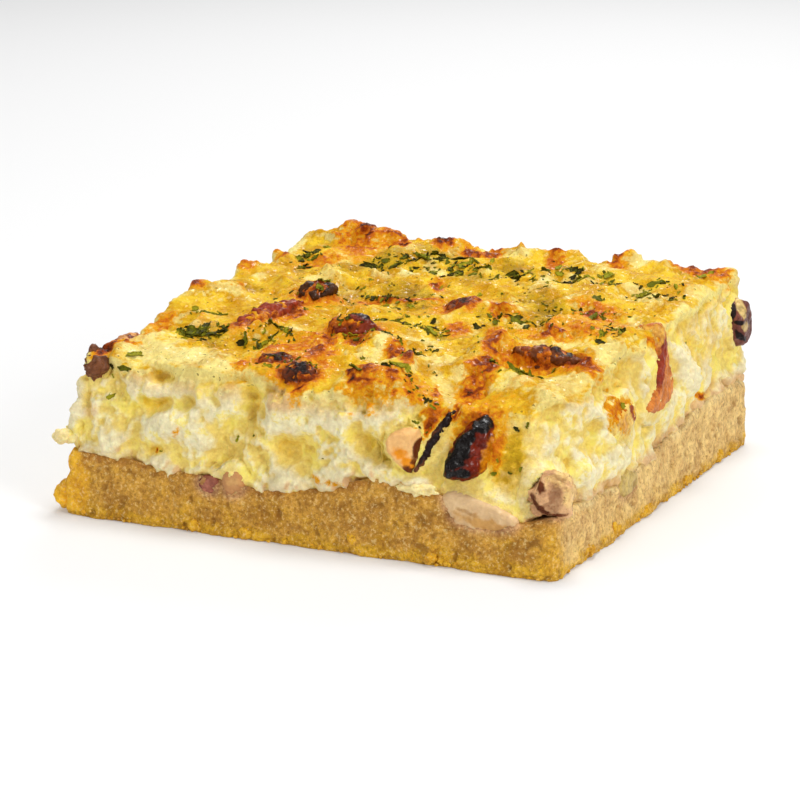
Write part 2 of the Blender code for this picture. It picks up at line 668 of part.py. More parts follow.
def parsley_places():
    """x, y and length of each fused leaf: those that stand out, then a seeded scatter."""
    draw = random.Random(PARSLEY_SEED)
    places = list(PARSLEY)
    while len(places) < len(PARSLEY) + MORE_PARSLEY:
        x, y = draw.uniform(-42, 44), draw.uniform(-40, 45)
        if min(math.dist((x, y), p[:2]) for p in places) > 7.5:
            places.append((x, y, draw.uniform(*MORE_PARSLEY_LENGTH)))
    return places


def scatter_parsley(filling, pieces):
    """Fuses the larger parsley leaves to the skin of the filling, clear of the pieces."""
    surface = BVHTree.FromPolygons([v.co for v in filling.data.vertices],
                                   [tuple(p.vertices) for p in filling.data.polygons])
    keep_clear = [BVHTree.FromPolygons([piece.matrix_world @ v.co for v in piece.data.vertices],
                                       [tuple(p.vertices) for p in piece.data.polygons]) for piece in pieces]
    collection = working_collection("parsley")
    draw = random.Random(PARSLEY_SEED + 1)
    for number, (x, y, length) in enumerate(parsley_places()):
        spin = draw.uniform(0, math.tau)
        hit, normal, _, _ = surface.ray_cast(Vector((x, y, 60)) * MM, Vector((0, 0, -1)))
        if hit is None or normal.z < 0.6:
            continue
        reach = (length / 2 + 1.0) * MM
        if any(tree.find_nearest(hit, reach)[0] is not None for tree in keep_clear):
            continue
        mesh = leaf_mesh(f"leaf_{number}", length, PARSLEY_SEED + number)
        mesh.transform(Matrix.Rotation(spin, 4, "Z"))
        mesh.transform(normal.to_track_quat("Z", "Y").to_matrix().to_4x4())
        placed(mesh, hit / MM, collection)
    apply_boolean(filling, "UNION", collection, "EXACT")


def build():
    """Makes the tart."""
    for item in list(bpy.data.objects):
        bpy.data.objects.remove(item)
    finishes = {
        "pastry": material("pastry", (0.58, 0.36, 0.14), 0.8),
        "filling": material("filling", (0.83, 0.68, 0.31), 0.45),
        "flesh": material("pale_flesh", (0.74, 0.44, 0.22), 0.5),
        "mushroom": material("mushroom", (0.22, 0.11, 0.07), 0.45),
        "char": material("char", (0.03, 0.012, 0.01), 0.35),
        "meat": material("cured_meat", (0.42, 0.12, 0.06), 0.4),
        "onion": material("cooked_onion", (0.60, 0.44, 0.34), 0.3),
    }
    kinds = {
        "flesh": ["chicken_chunk"],
        "mushroom": ["mushroom_edge", "corner_mushroom", "mushroom_left", "mushroom_rind", "mushroom_slice",
                     "brown_slice"],
        "char": ["charred_onion", "charred_tip", "charred_strip", "charred_front", "charred_leaf"],
        "meat": ["bacon_strip", "dark_chunk", "red_strip"],
        "onion": ["red_onion_left", "red_onion_right", "onion_layer", "onion_sliver", "onion_bit_right"],
    }
    pastry = add_pastry(finishes["pastry"])
    work_lumps(pastry, "UNION", PASTRY_LUMPS, PASTRY_SEED)
    work_lumps(pastry, "DIFFERENCE", FILLING_LUMPS, FILLING_SEED, FIT_GAP)
    filling = add_filling(finishes["filling"])
    work_lumps(filling, "UNION", FILLING_LUMPS, FILLING_SEED)
    pieces = []
    for kind, names in kinds.items():
        for name in names:
            mesh, at = piece_mesh(name)
            piece = add_object(name, mesh, finishes[kind])
            piece.location = Vector(at) * MM
            bpy.context.view_layer.update()
            keep_apart(piece, pieces)
            pieces.append(piece)
    bpy.context.view_layer.update()
    scatter_parsley(filling, pieces)
    every_piece = [piece.name for piece in pieces]
    cut_pockets(filling, every_piece)
    cut_pockets(pastry, every_piece)


build()
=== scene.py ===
# %% [markdown]
# A slice of onion tart. The real one is two foods in one block: a thick short crust, pressed into a tray
# by hand, and a deep layer of egg, soft cheese, onion and mushroom that was baked on it and cut when warm.
# The solids give the sizes and the large lumps. This lesson builds the same block again with a fine mesh,
# so that curds, browned folds, leaves and sandy crumbs are real relief, and then paints it by rules.

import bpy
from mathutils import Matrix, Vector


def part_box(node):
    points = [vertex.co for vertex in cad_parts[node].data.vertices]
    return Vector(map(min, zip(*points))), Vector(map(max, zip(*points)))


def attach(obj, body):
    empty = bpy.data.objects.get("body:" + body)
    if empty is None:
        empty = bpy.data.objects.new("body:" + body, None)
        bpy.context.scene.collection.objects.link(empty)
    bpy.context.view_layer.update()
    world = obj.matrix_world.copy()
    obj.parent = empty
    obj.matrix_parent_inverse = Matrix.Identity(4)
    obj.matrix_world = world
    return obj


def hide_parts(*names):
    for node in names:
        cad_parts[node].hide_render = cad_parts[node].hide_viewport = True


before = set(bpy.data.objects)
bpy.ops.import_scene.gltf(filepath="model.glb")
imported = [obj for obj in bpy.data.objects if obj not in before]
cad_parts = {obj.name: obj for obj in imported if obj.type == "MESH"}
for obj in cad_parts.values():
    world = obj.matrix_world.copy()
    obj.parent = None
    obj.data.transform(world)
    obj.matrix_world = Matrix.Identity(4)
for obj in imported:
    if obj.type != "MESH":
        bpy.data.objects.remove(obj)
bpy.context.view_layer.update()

# %% The libraries
import math
import random

import bmesh
import bpy
import numpy as np
from mathutils import Euler, Matrix, Vector, noise
from mathutils.bvhtree import BVHTree

# %% [markdown]
# The camera comes first, because every later choice is judged through it. A food photographer stands
# well back with a long lens, a hand's height above the table, so that the square looks square. The angle
# and the lens were worked out from where the slice's corners lie in the picture.

# %% The camera
LOOK_AT = Vector((-0.004, -0.0002, 0.015))
AZIMUTH = math.radians(25.1)
ELEVATION = math.radians(14.65)
DISTANCE = 0.608
LENS = 140.2

backward = Vector((
    math.sin(AZIMUTH) * math.cos(ELEVATION),
    -math.cos(AZIMUTH) * math.cos(ELEVATION),
    math.sin(ELEVATION),
))
camera_data = bpy.data.cameras.new("camera")
camera_data.lens = LENS
camera_data.clip_start = 0.05
camera_data.clip_end = 20
camera = bpy.data.objects.new("camera", camera_data)
bpy.context.scene.collection.objects.link(camera)
camera.location = LOOK_AT + backward * DISTANCE
camera.rotation_mode = "QUATERNION"
camera.rotation_quaternion = (-backward).to_track_quat("-Z", "Y")
bpy.context.scene.camera = camera
print("camera at", [round(c, 3) for c in camera.location])

# %% [markdown]
# A white sweep with light from all round keeps the shadows pale. Most of the light comes from a wide soft
# box overhead and one on the right, which models the right face. A bright horizon would wash out the colours
# of the greasy skin, which is seen at a low angle, so the lamps in front and behind are weak.
# The Standard view keeps a white table white.

# %% The light and the table
LAMPS = {
    "lamp_top": ((0.06, 0.10, 0.95), 0.42, 6.0, (1.0, 1.0, 1.0)),
    "lamp_right": ((0.80, -0.40, 0.42), 0.36, 4.2, (1.0, 1.0, 1.0)),
    "lamp_front": ((-0.45, -0.80, 0.40), 0.40, 1.95, (1.0, 1.0, 1.0)),
    "lamp_back": ((-0.20, 0.70, 0.50), 0.30, 1.6, (1.0, 1.0, 1.0)),
}


def add_lamp(name, place, side, power, colour):
    """A square soft box that points at the slice."""
    data = bpy.data.lights.new(name, "AREA")
    data.shape = "SQUARE"
    data.size = side
    data.energy = power
    data.color = colour
    lamp = bpy.data.objects.new(name, data)
    bpy.context.scene.collection.objects.link(lamp)
    lamp.location = place
    aim = Vector((0, 0, 0.02)) - Vector(place)
    lamp.rotation_mode = "QUATERNION"
    lamp.rotation_quaternion = aim.to_track_quat("-Z", "Y")
    return lamp


for name, (place, side, power, colour) in LAMPS.items():
    add_lamp(name, place, side, power, colour)

world = bpy.data.worlds.new("white_room")
world.use_nodes = True
world.node_tree.nodes["Background"].inputs["Color"].default_value = (1.0, 1.0, 1.0, 1)
world.node_tree.nodes["Background"].inputs["Strength"].default_value = 0.34
bpy.context.scene.world = world
bpy.context.scene.view_settings.view_transform = "Standard"

floor_mesh = bpy.data.meshes.new("table")
floor_mesh.from_pydata([(-4, -4, 0), (4, -4, 0), (4, 4, 0), (-4, 4, 0)], [], [(0, 1, 2, 3)])
table = bpy.data.objects.new("table", floor_mesh)
bpy.context.scene.collection.objects.link(table)
table.location.z = -0.0001
table_white = bpy.data.materials.new("table_white")
table_white.use_nodes = True
table_shader = table_white.node_tree.nodes["Principled BSDF"]
table_shader.inputs["Base Color"].default_value = (0.68, 0.68, 0.68, 1)
table_shader.inputs["Roughness"].default_value = 0.7
table_shader.inputs["Specular IOR Level"].default_value = 0.1
table_shader.inputs["Emission Color"].default_value = (1, 1, 1, 1)
table_shader.inputs["Emission Strength"].default_value = 0.17
floor_mesh.materials.append(table_white)
print("lamps", len(LAMPS))

# %% [markdown]
# The block's sizes are the ones that the solids were made from. Lists of places are in millimetres, from
# the middle of the underside, and are scaled when a mesh is made. The crust's top edge wanders on
# each side, because the filling was poured on raw pastry.

# %% Sizes
MM = 0.001
WIDTH, DEPTH = 100.0, 103.0
HALF_WIDTH, HALF_DEPTH = WIDTH / 2, DEPTH / 2
PASTRY_INSIDE = 10.8
TOP_LEVEL, TOP_TILT = 33.0, 0.055
NEAR_CORNER_RADIUS, CORNER_RADIUS = 3.0, 1.6
PASTRY_TAPER = 0.7
STEPS = 400

FRONT_LINE = [(-50, 12.4), (-37, 12.0), (-28, 10.9), (-19, 10.7), (-8, 9.4), (3, 11.2), (14, 14.6),
              (26, 13.2), (36, 11.2), (43, 9.2), (50, 11.4)]
RIGHT_LINE = [(-51, 11.4), (-31, 10.2), (-12, 9.0), (0, 10.4), (11, 12.2), (22, 13.8), (36, 14.4), (51, 13.8)]
BACK_LINE = [(-50, 12.6), (-30, 11.2), (-12, 12.8), (8, 10.6), (27, 11.8), (50, 13.6)]
LEFT_LINE = [(-51, 12.4), (-30, 11.6), (-8, 13.2), (14, 10.8), (33, 12.6), (51, 12.6)]


def smooth_step(low, high, value):
    """0 below low, 1 above high and an even curve between. low may be above high."""
    share = np.clip((np.asarray(value, float) - low) / (high - low), 0, 1)
    return share * share * (3 - 2 * share)


def pastry_top(x, y):
    """Height of the crust's top: each side keeps its own wavy line, and the inside is level."""
    sides = [
        (y + HALF_DEPTH, np.interp(x, *zip(*FRONT_LINE))),
        (HALF_WIDTH - x, np.interp(y, *zip(*RIGHT_LINE))),
        (HALF_DEPTH - y, np.interp(x, *zip(*BACK_LINE))),
        (x + HALF_WIDTH, np.interp(y, *zip(*LEFT_LINE))),
    ]
    weights = np.full_like(np.asarray(x, float), 9.0**-2)
    total = weights * PASTRY_INSIDE
    for away, height in sides:
        weight = (np.abs(away) + 0.5) ** -2
        weights = weights + weight
        total = total + weight * height
    return total / weights


def plan_point(across, along, half_width, half_depth):
    """A point of the square from -1 to 1, spread over a rectangle with round corners."""
    x = np.asarray(across, float) * half_width
    y = np.asarray(along, float) * half_depth
    radius = np.where((x > 0) & (y < 0), NEAR_CORNER_RADIUS, CORNER_RADIUS)
    u = np.clip((np.abs(x) - (half_width - radius)) / radius, 0, 1)
    v = np.clip((np.abs(y) - (half_depth - radius)) / radius, 0, 1)
    round_x = radius * (u - u * np.sqrt(1 - v * v / 2))
    round_y = radius * (v - v * np.sqrt(1 - u * u / 2))
    return x - np.sign(x) * round_x, y - np.sign(y) * round_y


front_crust = round(float(pastry_top(0.0, -HALF_DEPTH)), 1)
print("block", WIDTH, "x", DEPTH, "mm, crust", front_crust, "mm at the front")

# %% [markdown]
# Baked egg breaks into curds when it is cut. Two kinds of noise give that: smooth noise for folds, and
# rounded cells for curds, which are high in the middle and meet in creases. The cells' places are jogged
# first, or they would look like a honeycomb.

# %% Noise for folds and curds
def noise_at(points, wavelength, seed=0.0):
    """Smooth noise from -1 to 1 at points in millimetres."""
    shift = Vector((seed, 2.3 * seed, -1.7 * seed))
    return np.array([noise.noise(Vector(p) / wavelength + shift) for p in points])


def jog_at(place):
    """A smooth push in a direction that changes from place to place."""
    shifts = (Vector((9.3, -1.5, -7.9)), Vector((-3.1, 6.7, 2.2)), Vector((4.4, 8.6, -5.3)))
    return Vector([noise.noise(place + shift) for shift in shifts])


def curds_at(points, size, seed=0.0):
    """Round lumps with creases between them: 1 in the middle of a lump and 0 in a crease."""
    shift = Vector((seed, -seed, 0.5 * seed))
    heights = []
    for point in points:
        place = Vector(point) / size + shift
        place += 0.35 * jog_at(place * 1.3)
        nearest = noise.voronoi(place)[0][0]
        heights.append(math.sqrt(max(0.0, 1 - (nearest / 0.95) ** 2)))
    return np.array(heights)


def ridges_at(points, wavelength, seed=0.0):
    """Winding ridges: 1 on a crest line, falling to 0 at its foot."""
    return np.clip(1 - 2.6 * np.abs(noise_at(points, wavelength, seed)), 0, 1)


def torn_at(points, wavelength, seed=0.0):
    """Rough noise that is half cut into shelves, whose crisp winding edges look torn."""
    step = 0.3
    height = noise_at(points, wavelength, seed) + 0.5 * noise_at(points, wavelength / 2.1, seed + 3)
    height += 0.3 * noise_at(points, wavelength / 4.3, seed + 5)
    level = height / step
    shelf = np.floor(level) + smooth_step(0.6, 0.95, level - np.floor(level))
    return 0.45 * height + 0.55 * step * shelf


print("curd of 8.5 mm at the origin", round(float(curds_at([(0, 0, 0)], 8.5)[0]), 3))

# %% [markdown]
# A cook would see the top as a map: humps where a piece of onion or meat lies under the skin, and hollows
# between them. Each entry is one of those, as an oval that fades out. The walls have their own list.

# %% The large humps and hollows
TOP_FORMS = [
    (-47, 31, 5.0, 11.0, 0, -1.9), (-36.5, 46, 4.0, 3.6, 0, 4.4), (-29, 46, 4.0, 3.2, 0, 1.5),
    (-45, 42, 3.4, 4.0, 0, 0.5), (-24, 46, 3.0, 3.0, 0, -0.8), (-16, 46, 6.0, 3.0, 0, 0.6),
    (-3, 47, 5.0, 3.0, 0, 1.2), (7, 46.5, 4.6, 2.6, 10, 2.2), (25, 47, 2.2, 2.2, 0, 2.0),
    (17, 46, 3.0, 3.0, 0, -1.2), (38, 47, 9.0, 2.6, 0, 0.9), (-46, -9, 8.5, 4.6, 88, 2.8),
    (-46, 14, 3.0, 3.0, 0, 0.8), (-44, -24, 12.0, 7.0, 70, -2.0), (-24, 28, 13.0, 4.0, 12, -2.0),
    (-30, 12, 14.0, 3.5, 65, 1.4), (-10, 33, 12.0, 4.0, -10, 1.4), (-12, 8, 11.0, 5.0, -35, -1.8),
    (4, 8, 7.5, 5.0, -20, -1.4), (-1, -15, 7.0, 4.0, 10, 1.8), (4, -24, 3.5, 5.0, 20, 2.4),
    (-26, -17, 13.0, 4.0, 70, 1.2), (13, -37, 4.5, 3.5, 30, 3.0), (13, -45, 7.0, 3.6, -12, 2.4),
    (24, -22, 10.0, 3.0, 98, 3.2), (33, -25, 9.0, 4.0, -25, -2.0), (27, -38, 9.0, 3.6, -20, -2.2),
    (37, -36, 7.0, 4.0, -25, 1.2), (17, 3, 8.0, 3.5, 20, 2.2), (36, -2, 8.0, 4.5, -20, 2.0),
    (33, 9, 9.0, 3.5, -25, -1.6), (20, 22, 10.0, 5.0, 0, 1.8), (40, 24, 8.0, 7.0, 20, -1.0),
    (2, 33, 9.0, 4.0, 15, -1.4), (28, 36, 10.0, 4.0, -5, 1.2), (-20, -32, 10.0, 6.0, 20, -1.2),
    (-6, -43, 8.0, 3.6, -5, 1.4), (-34, -40, 8.0, 7.0, 10, 0.8), (44, -12, 4.0, 7.0, 0, 0.8),
]
WALL_FORMS = [
    ("front", -30.0, 28.4, 2.8, 1.6, -18, -1.7), ("front", -29.9, 23.2, 2.8, 1.5, 14, -1.7),
    ("front", -30.8, 14.4, 2.4, 1.5, 0, -1.3), ("front", -11.4, 25.6, 2.0, 6.0, 14, -2.8),
    ("front", -1.0, 25.6, 8.0, 4.2, 4, 1.8), ("front", -1.0, 17.6, 8.0, 4.0, 0, -1.5),
    ("front", 8.3, 21.0, 2.4, 8.0, 0, 1.7), ("front", 14.4, 19.4, 4.6, 2.4, -38, -2.8),
    ("front", 13.4, 26.0, 4.4, 2.4, -12, 1.4), ("front", -22.6, 26.2, 5.4, 4.0, -20, 1.3),
    ("front", -23.0, 20.8, 6.0, 2.6, 0, 0.6), ("front", -45.0, 15.4, 5.0, 3.0, 0, 1.3),
    ("left", -47.0, 16.4, 7.0, 3.4, 0, 1.8), ("left", -48.0, 23.0, 5.0, 4.0, 0, 1.3),
    ("front", 22.6, 14.4, 4.0, 1.3, -22, 1.2), ("right", 18.0, 21.6, 3.0, 6.0, 20, 1.0),
    ("right", -12.0, 29.6, 4.4, 3.0, 0, -1.6), ("right", -7.3, 28.0, 2.0, 1.6, 0, -1.2),
    ("right", 0.0, 15.0, 10.0, 2.4, 20, 0.9), ("right", 24.0, 27.0, 5.0, 3.4, -20, -1.0),
    ("right", 34.0, 19.0, 7.0, 3.6, -20, -0.9), ("right", -28.0, 17.0, 7.0, 4.0, 20, 0.6),
    ("left", -38.0, 22.0, 6.0, 4.0, 0, -1.4), ("left", -12.0, 20.0, 9.0, 5.0, 10, 1.2),
    ("left", 16.0, 24.0, 7.0, 4.0, -15, -1.5), ("left", 36.0, 19.0, 7.0, 5.0, 0, 1.1),
    ("back", -32.0, 24.0, 8.0, 4.0, 10, 1.2), ("back", -8.0, 20.0, 6.0, 5.0, 0, -1.5),
    ("back", 14.0, 26.0, 7.0, 4.0, -10, 1.1), ("back", 34.0, 19.0, 6.0, 4.0, 0, -1.3),
]


def oval(u, v, place_u, place_v, length, width, turn):
    """Distance from the middle of a turned oval: 1 on its rim."""
    cosine, sine = math.cos(math.radians(turn)), math.sin(math.radians(turn))
    along = (cosine * (u - place_u) + sine * (v - place_v)) / length
    across = (cosine * (v - place_v) - sine * (u - place_u)) / width
    return np.hypot(along, across)


def slump(x):
    """How far the front of the filling has slumped, from 0 on the left to 1 at the near corner."""
    return smooth_step(15, 29, x)


def top_height(x, y):
    """Height of the baked top before its fine relief."""
    height = TOP_LEVEL + TOP_TILT * np.asarray(y, float)
    for *place, rise in TOP_FORMS:
        height = height + rise * np.exp(-oval(x, y, *place) ** 2)
    near_edge = np.minimum(HALF_WIDTH - np.abs(x), HALF_DEPTH - np.abs(y))
    return height - 1.4 * np.exp(-np.maximum(near_edge, 0) / 1.6)


FACINGS = {"front": (1, -1, 0), "right": (0, 1, 1), "back": (1, 1, 0), "left": (0, -1, 1)}


def facing(points, normals, side):
    """How far the normals face a side, and the places along it."""
    normal_axis, sign, along_axis = FACINGS[side]
    return smooth_step(0.3, 0.8, sign * normals[:, normal_axis]), points[:, along_axis]


def wall_forms(points, normals):
    """Rise of the larger humps and hollows of the walls."""
    total = np.zeros(len(points))
    for side, place, height, length, tall, turn, rise in WALL_FORMS:
        towards, along = facing(points, normals, side)
        total += rise * towards * np.exp(-oval(along, points[:, 2], place, height, length, tall, turn) ** 2)
    return total


print("forms", len(TOP_FORMS), "on the top and", len(WALL_FORMS), "on the walls")

# %% [markdown]
# The filling is one skin: rings of wall from the crust up, then the top. It leans back a little as it
# rises, and its front has slumped over the near corner, where the knife pulled it. A grid bent into that
# shape gives even cells of a quarter of a millimetre, fine enough for crumbs.

# %% The filling's smooth shape
WALL_ROWS = 60
EDGE_ROUNDS = 36
SUNK = 2.0


def filling_point(across, along, up):
    """Points of the filling in millimetres: across and along from -1 to 1, up from 0 at the crust to 1."""
    half_width, half_depth = HALF_WIDTH - PASTRY_TAPER + 0.2, HALF_DEPTH - PASTRY_TAPER + 0.2
    x, y = plan_point(across, along, half_width, half_depth)
    low = pastry_top(x, y) - SUNK
    lean = 0.4 * up + 1.8 * up**4
    moved_x = x * (1 - lean / HALF_WIDTH)
    moved_y = y * (1 - lean / HALF_DEPTH)
    front = smooth_step(-14, -HALF_DEPTH, y)
    corner = smooth_step(44, 49.5, x)
    back = slump(x) * (0.6 + 6.6 * up) + corner * (9.0 * (1 - up) ** 0.5 + 4.4 * up)
    moved_y = moved_y + front * back
    left_corner = np.exp(-((HALF_WIDTH + x) ** 2 + (HALF_DEPTH + y) ** 2) / 60)
    moved_x = moved_x + 3.6 * left_corner * up
    moved_y = moved_y + 1.2 * left_corner * up
    right = smooth_step(30, HALF_WIDTH, x) * smooth_step(-40, -HALF_DEPTH, y)
    moved_x = moved_x - right * 1.2
    drop = slump(x) * smooth_step(-34, -46, y) * 2.2
    high = top_height(moved_x, moved_y) - drop
    return np.column_stack([moved_x, moved_y, low + (high - low) * up])


def border(steps):
    """The grid places round the square's edge, anticlockwise from its front left corner."""
    run = np.arange(steps)
    still = np.zeros(steps, int)
    i = np.concatenate([run, still + steps, steps - run, still])
    j = np.concatenate([still, run, still + steps, steps - run])
    return i, j


def ring_quads(rows, count):
    """Faces between rings of points that lie one above the other."""
    k = np.arange(count)
    after = (k + 1) % count
    quads = [np.column_stack([r * count + k, r * count + after, (r + 1) * count + after, (r + 1) * count + k])
             for r in range(rows)]
    return np.vstack(quads)


def vertex_normals(points, quads):
    """Outward directions at the points of a mesh of quads."""
    across = points[quads[:, 2]] - points[quads[:, 0]]
    along = points[quads[:, 3]] - points[quads[:, 1]]
    face = np.cross(across, along)
    spread = np.repeat(face, 4, axis=0)
    owner = quads.ravel()
    total = np.column_stack([np.bincount(owner, spread[:, k], len(points)) for k in range(3)])
    return total / np.maximum(np.linalg.norm(total, axis=1), 1e-12)[:, None]


def relaxed(points, quads, rounds, still):
    """Points drawn towards the middle of their neighbours, round by round. The first few stay still."""
    ends = np.vstack([quads[:, [k, (k + 1) % 4]] for k in range(4)])
    here, there = np.concatenate([ends, ends[:, ::-1]]).T
    neighbours = np.bincount(here, minlength=len(points))[:, None]
    for _ in range(rounds):
        total = np.column_stack([np.bincount(here, column[there], len(points)) for column in points.T])
        points = np.vstack([points[:still], (total / neighbours)[still:]])
    return points


edge_i, edge_j = border(STEPS)
edge_count = len(edge_i)
heights = np.linspace(0, 1, WALL_ROWS + 1)
inside = np.arange(1, STEPS)
inner_i, inner_j = [grid.ravel() for grid in np.meshgrid(inside, inside, indexing="ij")]
across = np.concatenate([np.tile(edge_i, WALL_ROWS + 1), inner_i]) * 2 / STEPS - 1
along = np.concatenate([np.tile(edge_j, WALL_ROWS + 1), inner_j]) * 2 / STEPS - 1
up = np.concatenate([np.repeat(heights, edge_count), np.ones(len(inner_i))])
smooth_skin = filling_point(across, along, up)

number = np.zeros((STEPS + 1, STEPS + 1), int)
number[edge_i, edge_j] = WALL_ROWS * edge_count + np.arange(edge_count)
number[inner_i, inner_j] = (WALL_ROWS + 1) * edge_count + np.arange(len(inner_i))
wall_quads = ring_quads(WALL_ROWS, edge_count)
top_quads = np.column_stack([number[:-1, :-1].ravel(), number[1:, :-1].ravel(),
                             number[1:, 1:].ravel(), number[:-1, 1:].ravel()])
skin_quads = np.vstack([wall_quads, top_quads])
smooth_skin = relaxed(smooth_skin, skin_quads, EDGE_ROUNDS, edge_count)
smooth_normals = vertex_normals(smooth_skin, skin_quads)
print("filling points", len(smooth_skin), "wall quads", len(wall_quads), "top quads", len(top_quads))

# %% [markdown]
# The pieces that were cut through, or that lie in the skin, are solids already. The filling has to hug
# them, so it needs to know how far every point of its skin is from the nearest piece, and from the nearest
# burnt one. A search tree over the solids' faces answers both.

# %% Distances to the pieces
PIECES = {
    "pale_flesh": ["chicken_chunk"],
    "mushroom": ["mushroom_edge", "corner_mushroom", "mushroom_left", "mushroom_rind", "mushroom_slice",
                 "brown_slice"],
    "char": ["charred_onion", "charred_tip", "charred_strip", "charred_front", "charred_leaf"],
    "cured_meat": ["bacon_strip", "dark_chunk", "red_strip"],
    "cooked_onion": ["red_onion_left", "red_onion_right", "onion_layer", "onion_sliver", "onion_bit_right"],
}


def tree_of(names):
    """One search tree over the faces of some solids, in millimetres."""
    points, faces = [], []
    for name in names:
        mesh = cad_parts[name].data
        first = len(points)
        points += [v.co / MM for v in mesh.vertices]
        faces += [tuple(first + v for v in p.vertices) for p in mesh.polygons]
    return BVHTree.FromPolygons(points, faces)


def distances(points, tree, reach):
    """Distance from each point to the nearest face of a tree, and reach where there is none that near."""
    found = []
    for point in points:
        distance = tree.find_nearest(Vector(point), reach)[3]
        found.append(reach if distance is None else distance)
    return np.array(found)


def piece_rise(points, ways, tree, near):
    """How far out along its way from each point a piece's surface lies, or nan where none shows there."""
    reach, sunk = 4.0, 0.8
    rises = np.full(len(points), np.nan)
    for k in np.nonzero(near < 3.9)[0]:
        way = Vector(ways[k])
        distance = tree.ray_cast(Vector(points[k]) + way * reach, -way, reach + sunk)[3]
        if distance is not None:
            rises[k] = reach - distance
    return rises


def carried_on(values, known, quads, rounds, fade):
    """Values of some points, passed on to their neighbours round by round, and fading on the way."""
    ends = np.vstack([quads[:, [k, (k + 1) % 4]] for k in range(4)])
    here, there = np.concatenate([ends, ends[:, ::-1]]).T
    neighbours = np.maximum(np.bincount(here, minlength=len(values)), 1)
    flow = np.where(known, values, 0.0)
    for _ in range(rounds):
        flow = np.where(known, values, fade * np.bincount(here, flow[there], len(values)) / neighbours)
    return flow


def fitted_to(relief, rises, cover):
    """A relief kept just under the pieces that stand above it. Where cover is over 0.3 it runs over them."""
    above = ~np.isnan(rises) & (rises > relief - 0.05)
    shows = above & (cover < 0.3 - 0.4 * smooth_step(1.2, 0.0, rises))
    under = np.where(shows, rises - 0.25, 99.0)
    return np.where(above & ~shows, rises + 0.12, np.minimum(relief, under))


def banked_up(relief, rises, quads, highest, rounds):
    """A relief heaped up against the pieces that stand high, up to some height."""
    stands = ~np.isnan(rises) & (rises > 0.5)
    banked = carried_on(np.clip(rises, 0, highest), stands, quads, rounds, 0.98)
    return np.maximum(relief, np.where(banked > 0.05, banked - 0.12, -99))


every_piece = [name for names in PIECES.values() for name in names]
FLUSH = [name for name in every_piece
         if name not in ("chicken_chunk", "mushroom_edge", "charred_onion", "mushroom_slice")]
burnt = PIECES["char"] + PIECES["cured_meat"][1:] + ["brown_slice", "mushroom_rind"]
pieces_tree, flush_tree = tree_of(every_piece), tree_of(FLUSH)
near_piece = distances(smooth_skin, pieces_tree, 4.0)
near_burnt = distances(smooth_skin, tree_of(burnt), 6.0)
near_left = distances(smooth_skin, tree_of(["mushroom_left", "mushroom_rind"]), 3.0)
print("points that touch a piece", int((near_piece < 0.3).sum()))

# %% [markdown]
# Colour on baked food comes from where the heat and the fat were, so it is painted as masks on the points:
# how browned, how yellow, how wet, and where painted light and shade go. A mask starts from the relief
# (crests brown first; creases and hollows take yolk yellow as painted shade) and then takes spots at the
# places where the real slice has them. Noise on the distance makes the spots' rims ragged. These ovals
# aren't a model to copy, because many of their numbers came from other scripts: most browned ones and many
# on the walls were drawn in the picture and carried over to millimetres, and many olive and pale ones
# follow regions of like colour in the photo.

# %% A mask from spots
def spot_mask(u, v, ragged, spots):
    """The strongest of some ovals at each point: middle, half length, half width, turn, strength."""
    mask = np.zeros(len(u))
    for *place, strength in spots:
        inside = smooth_step(1.45, 0.25, oval(u, v, *place) + ragged)
        mask = np.maximum(mask, strength * inside)
    return mask


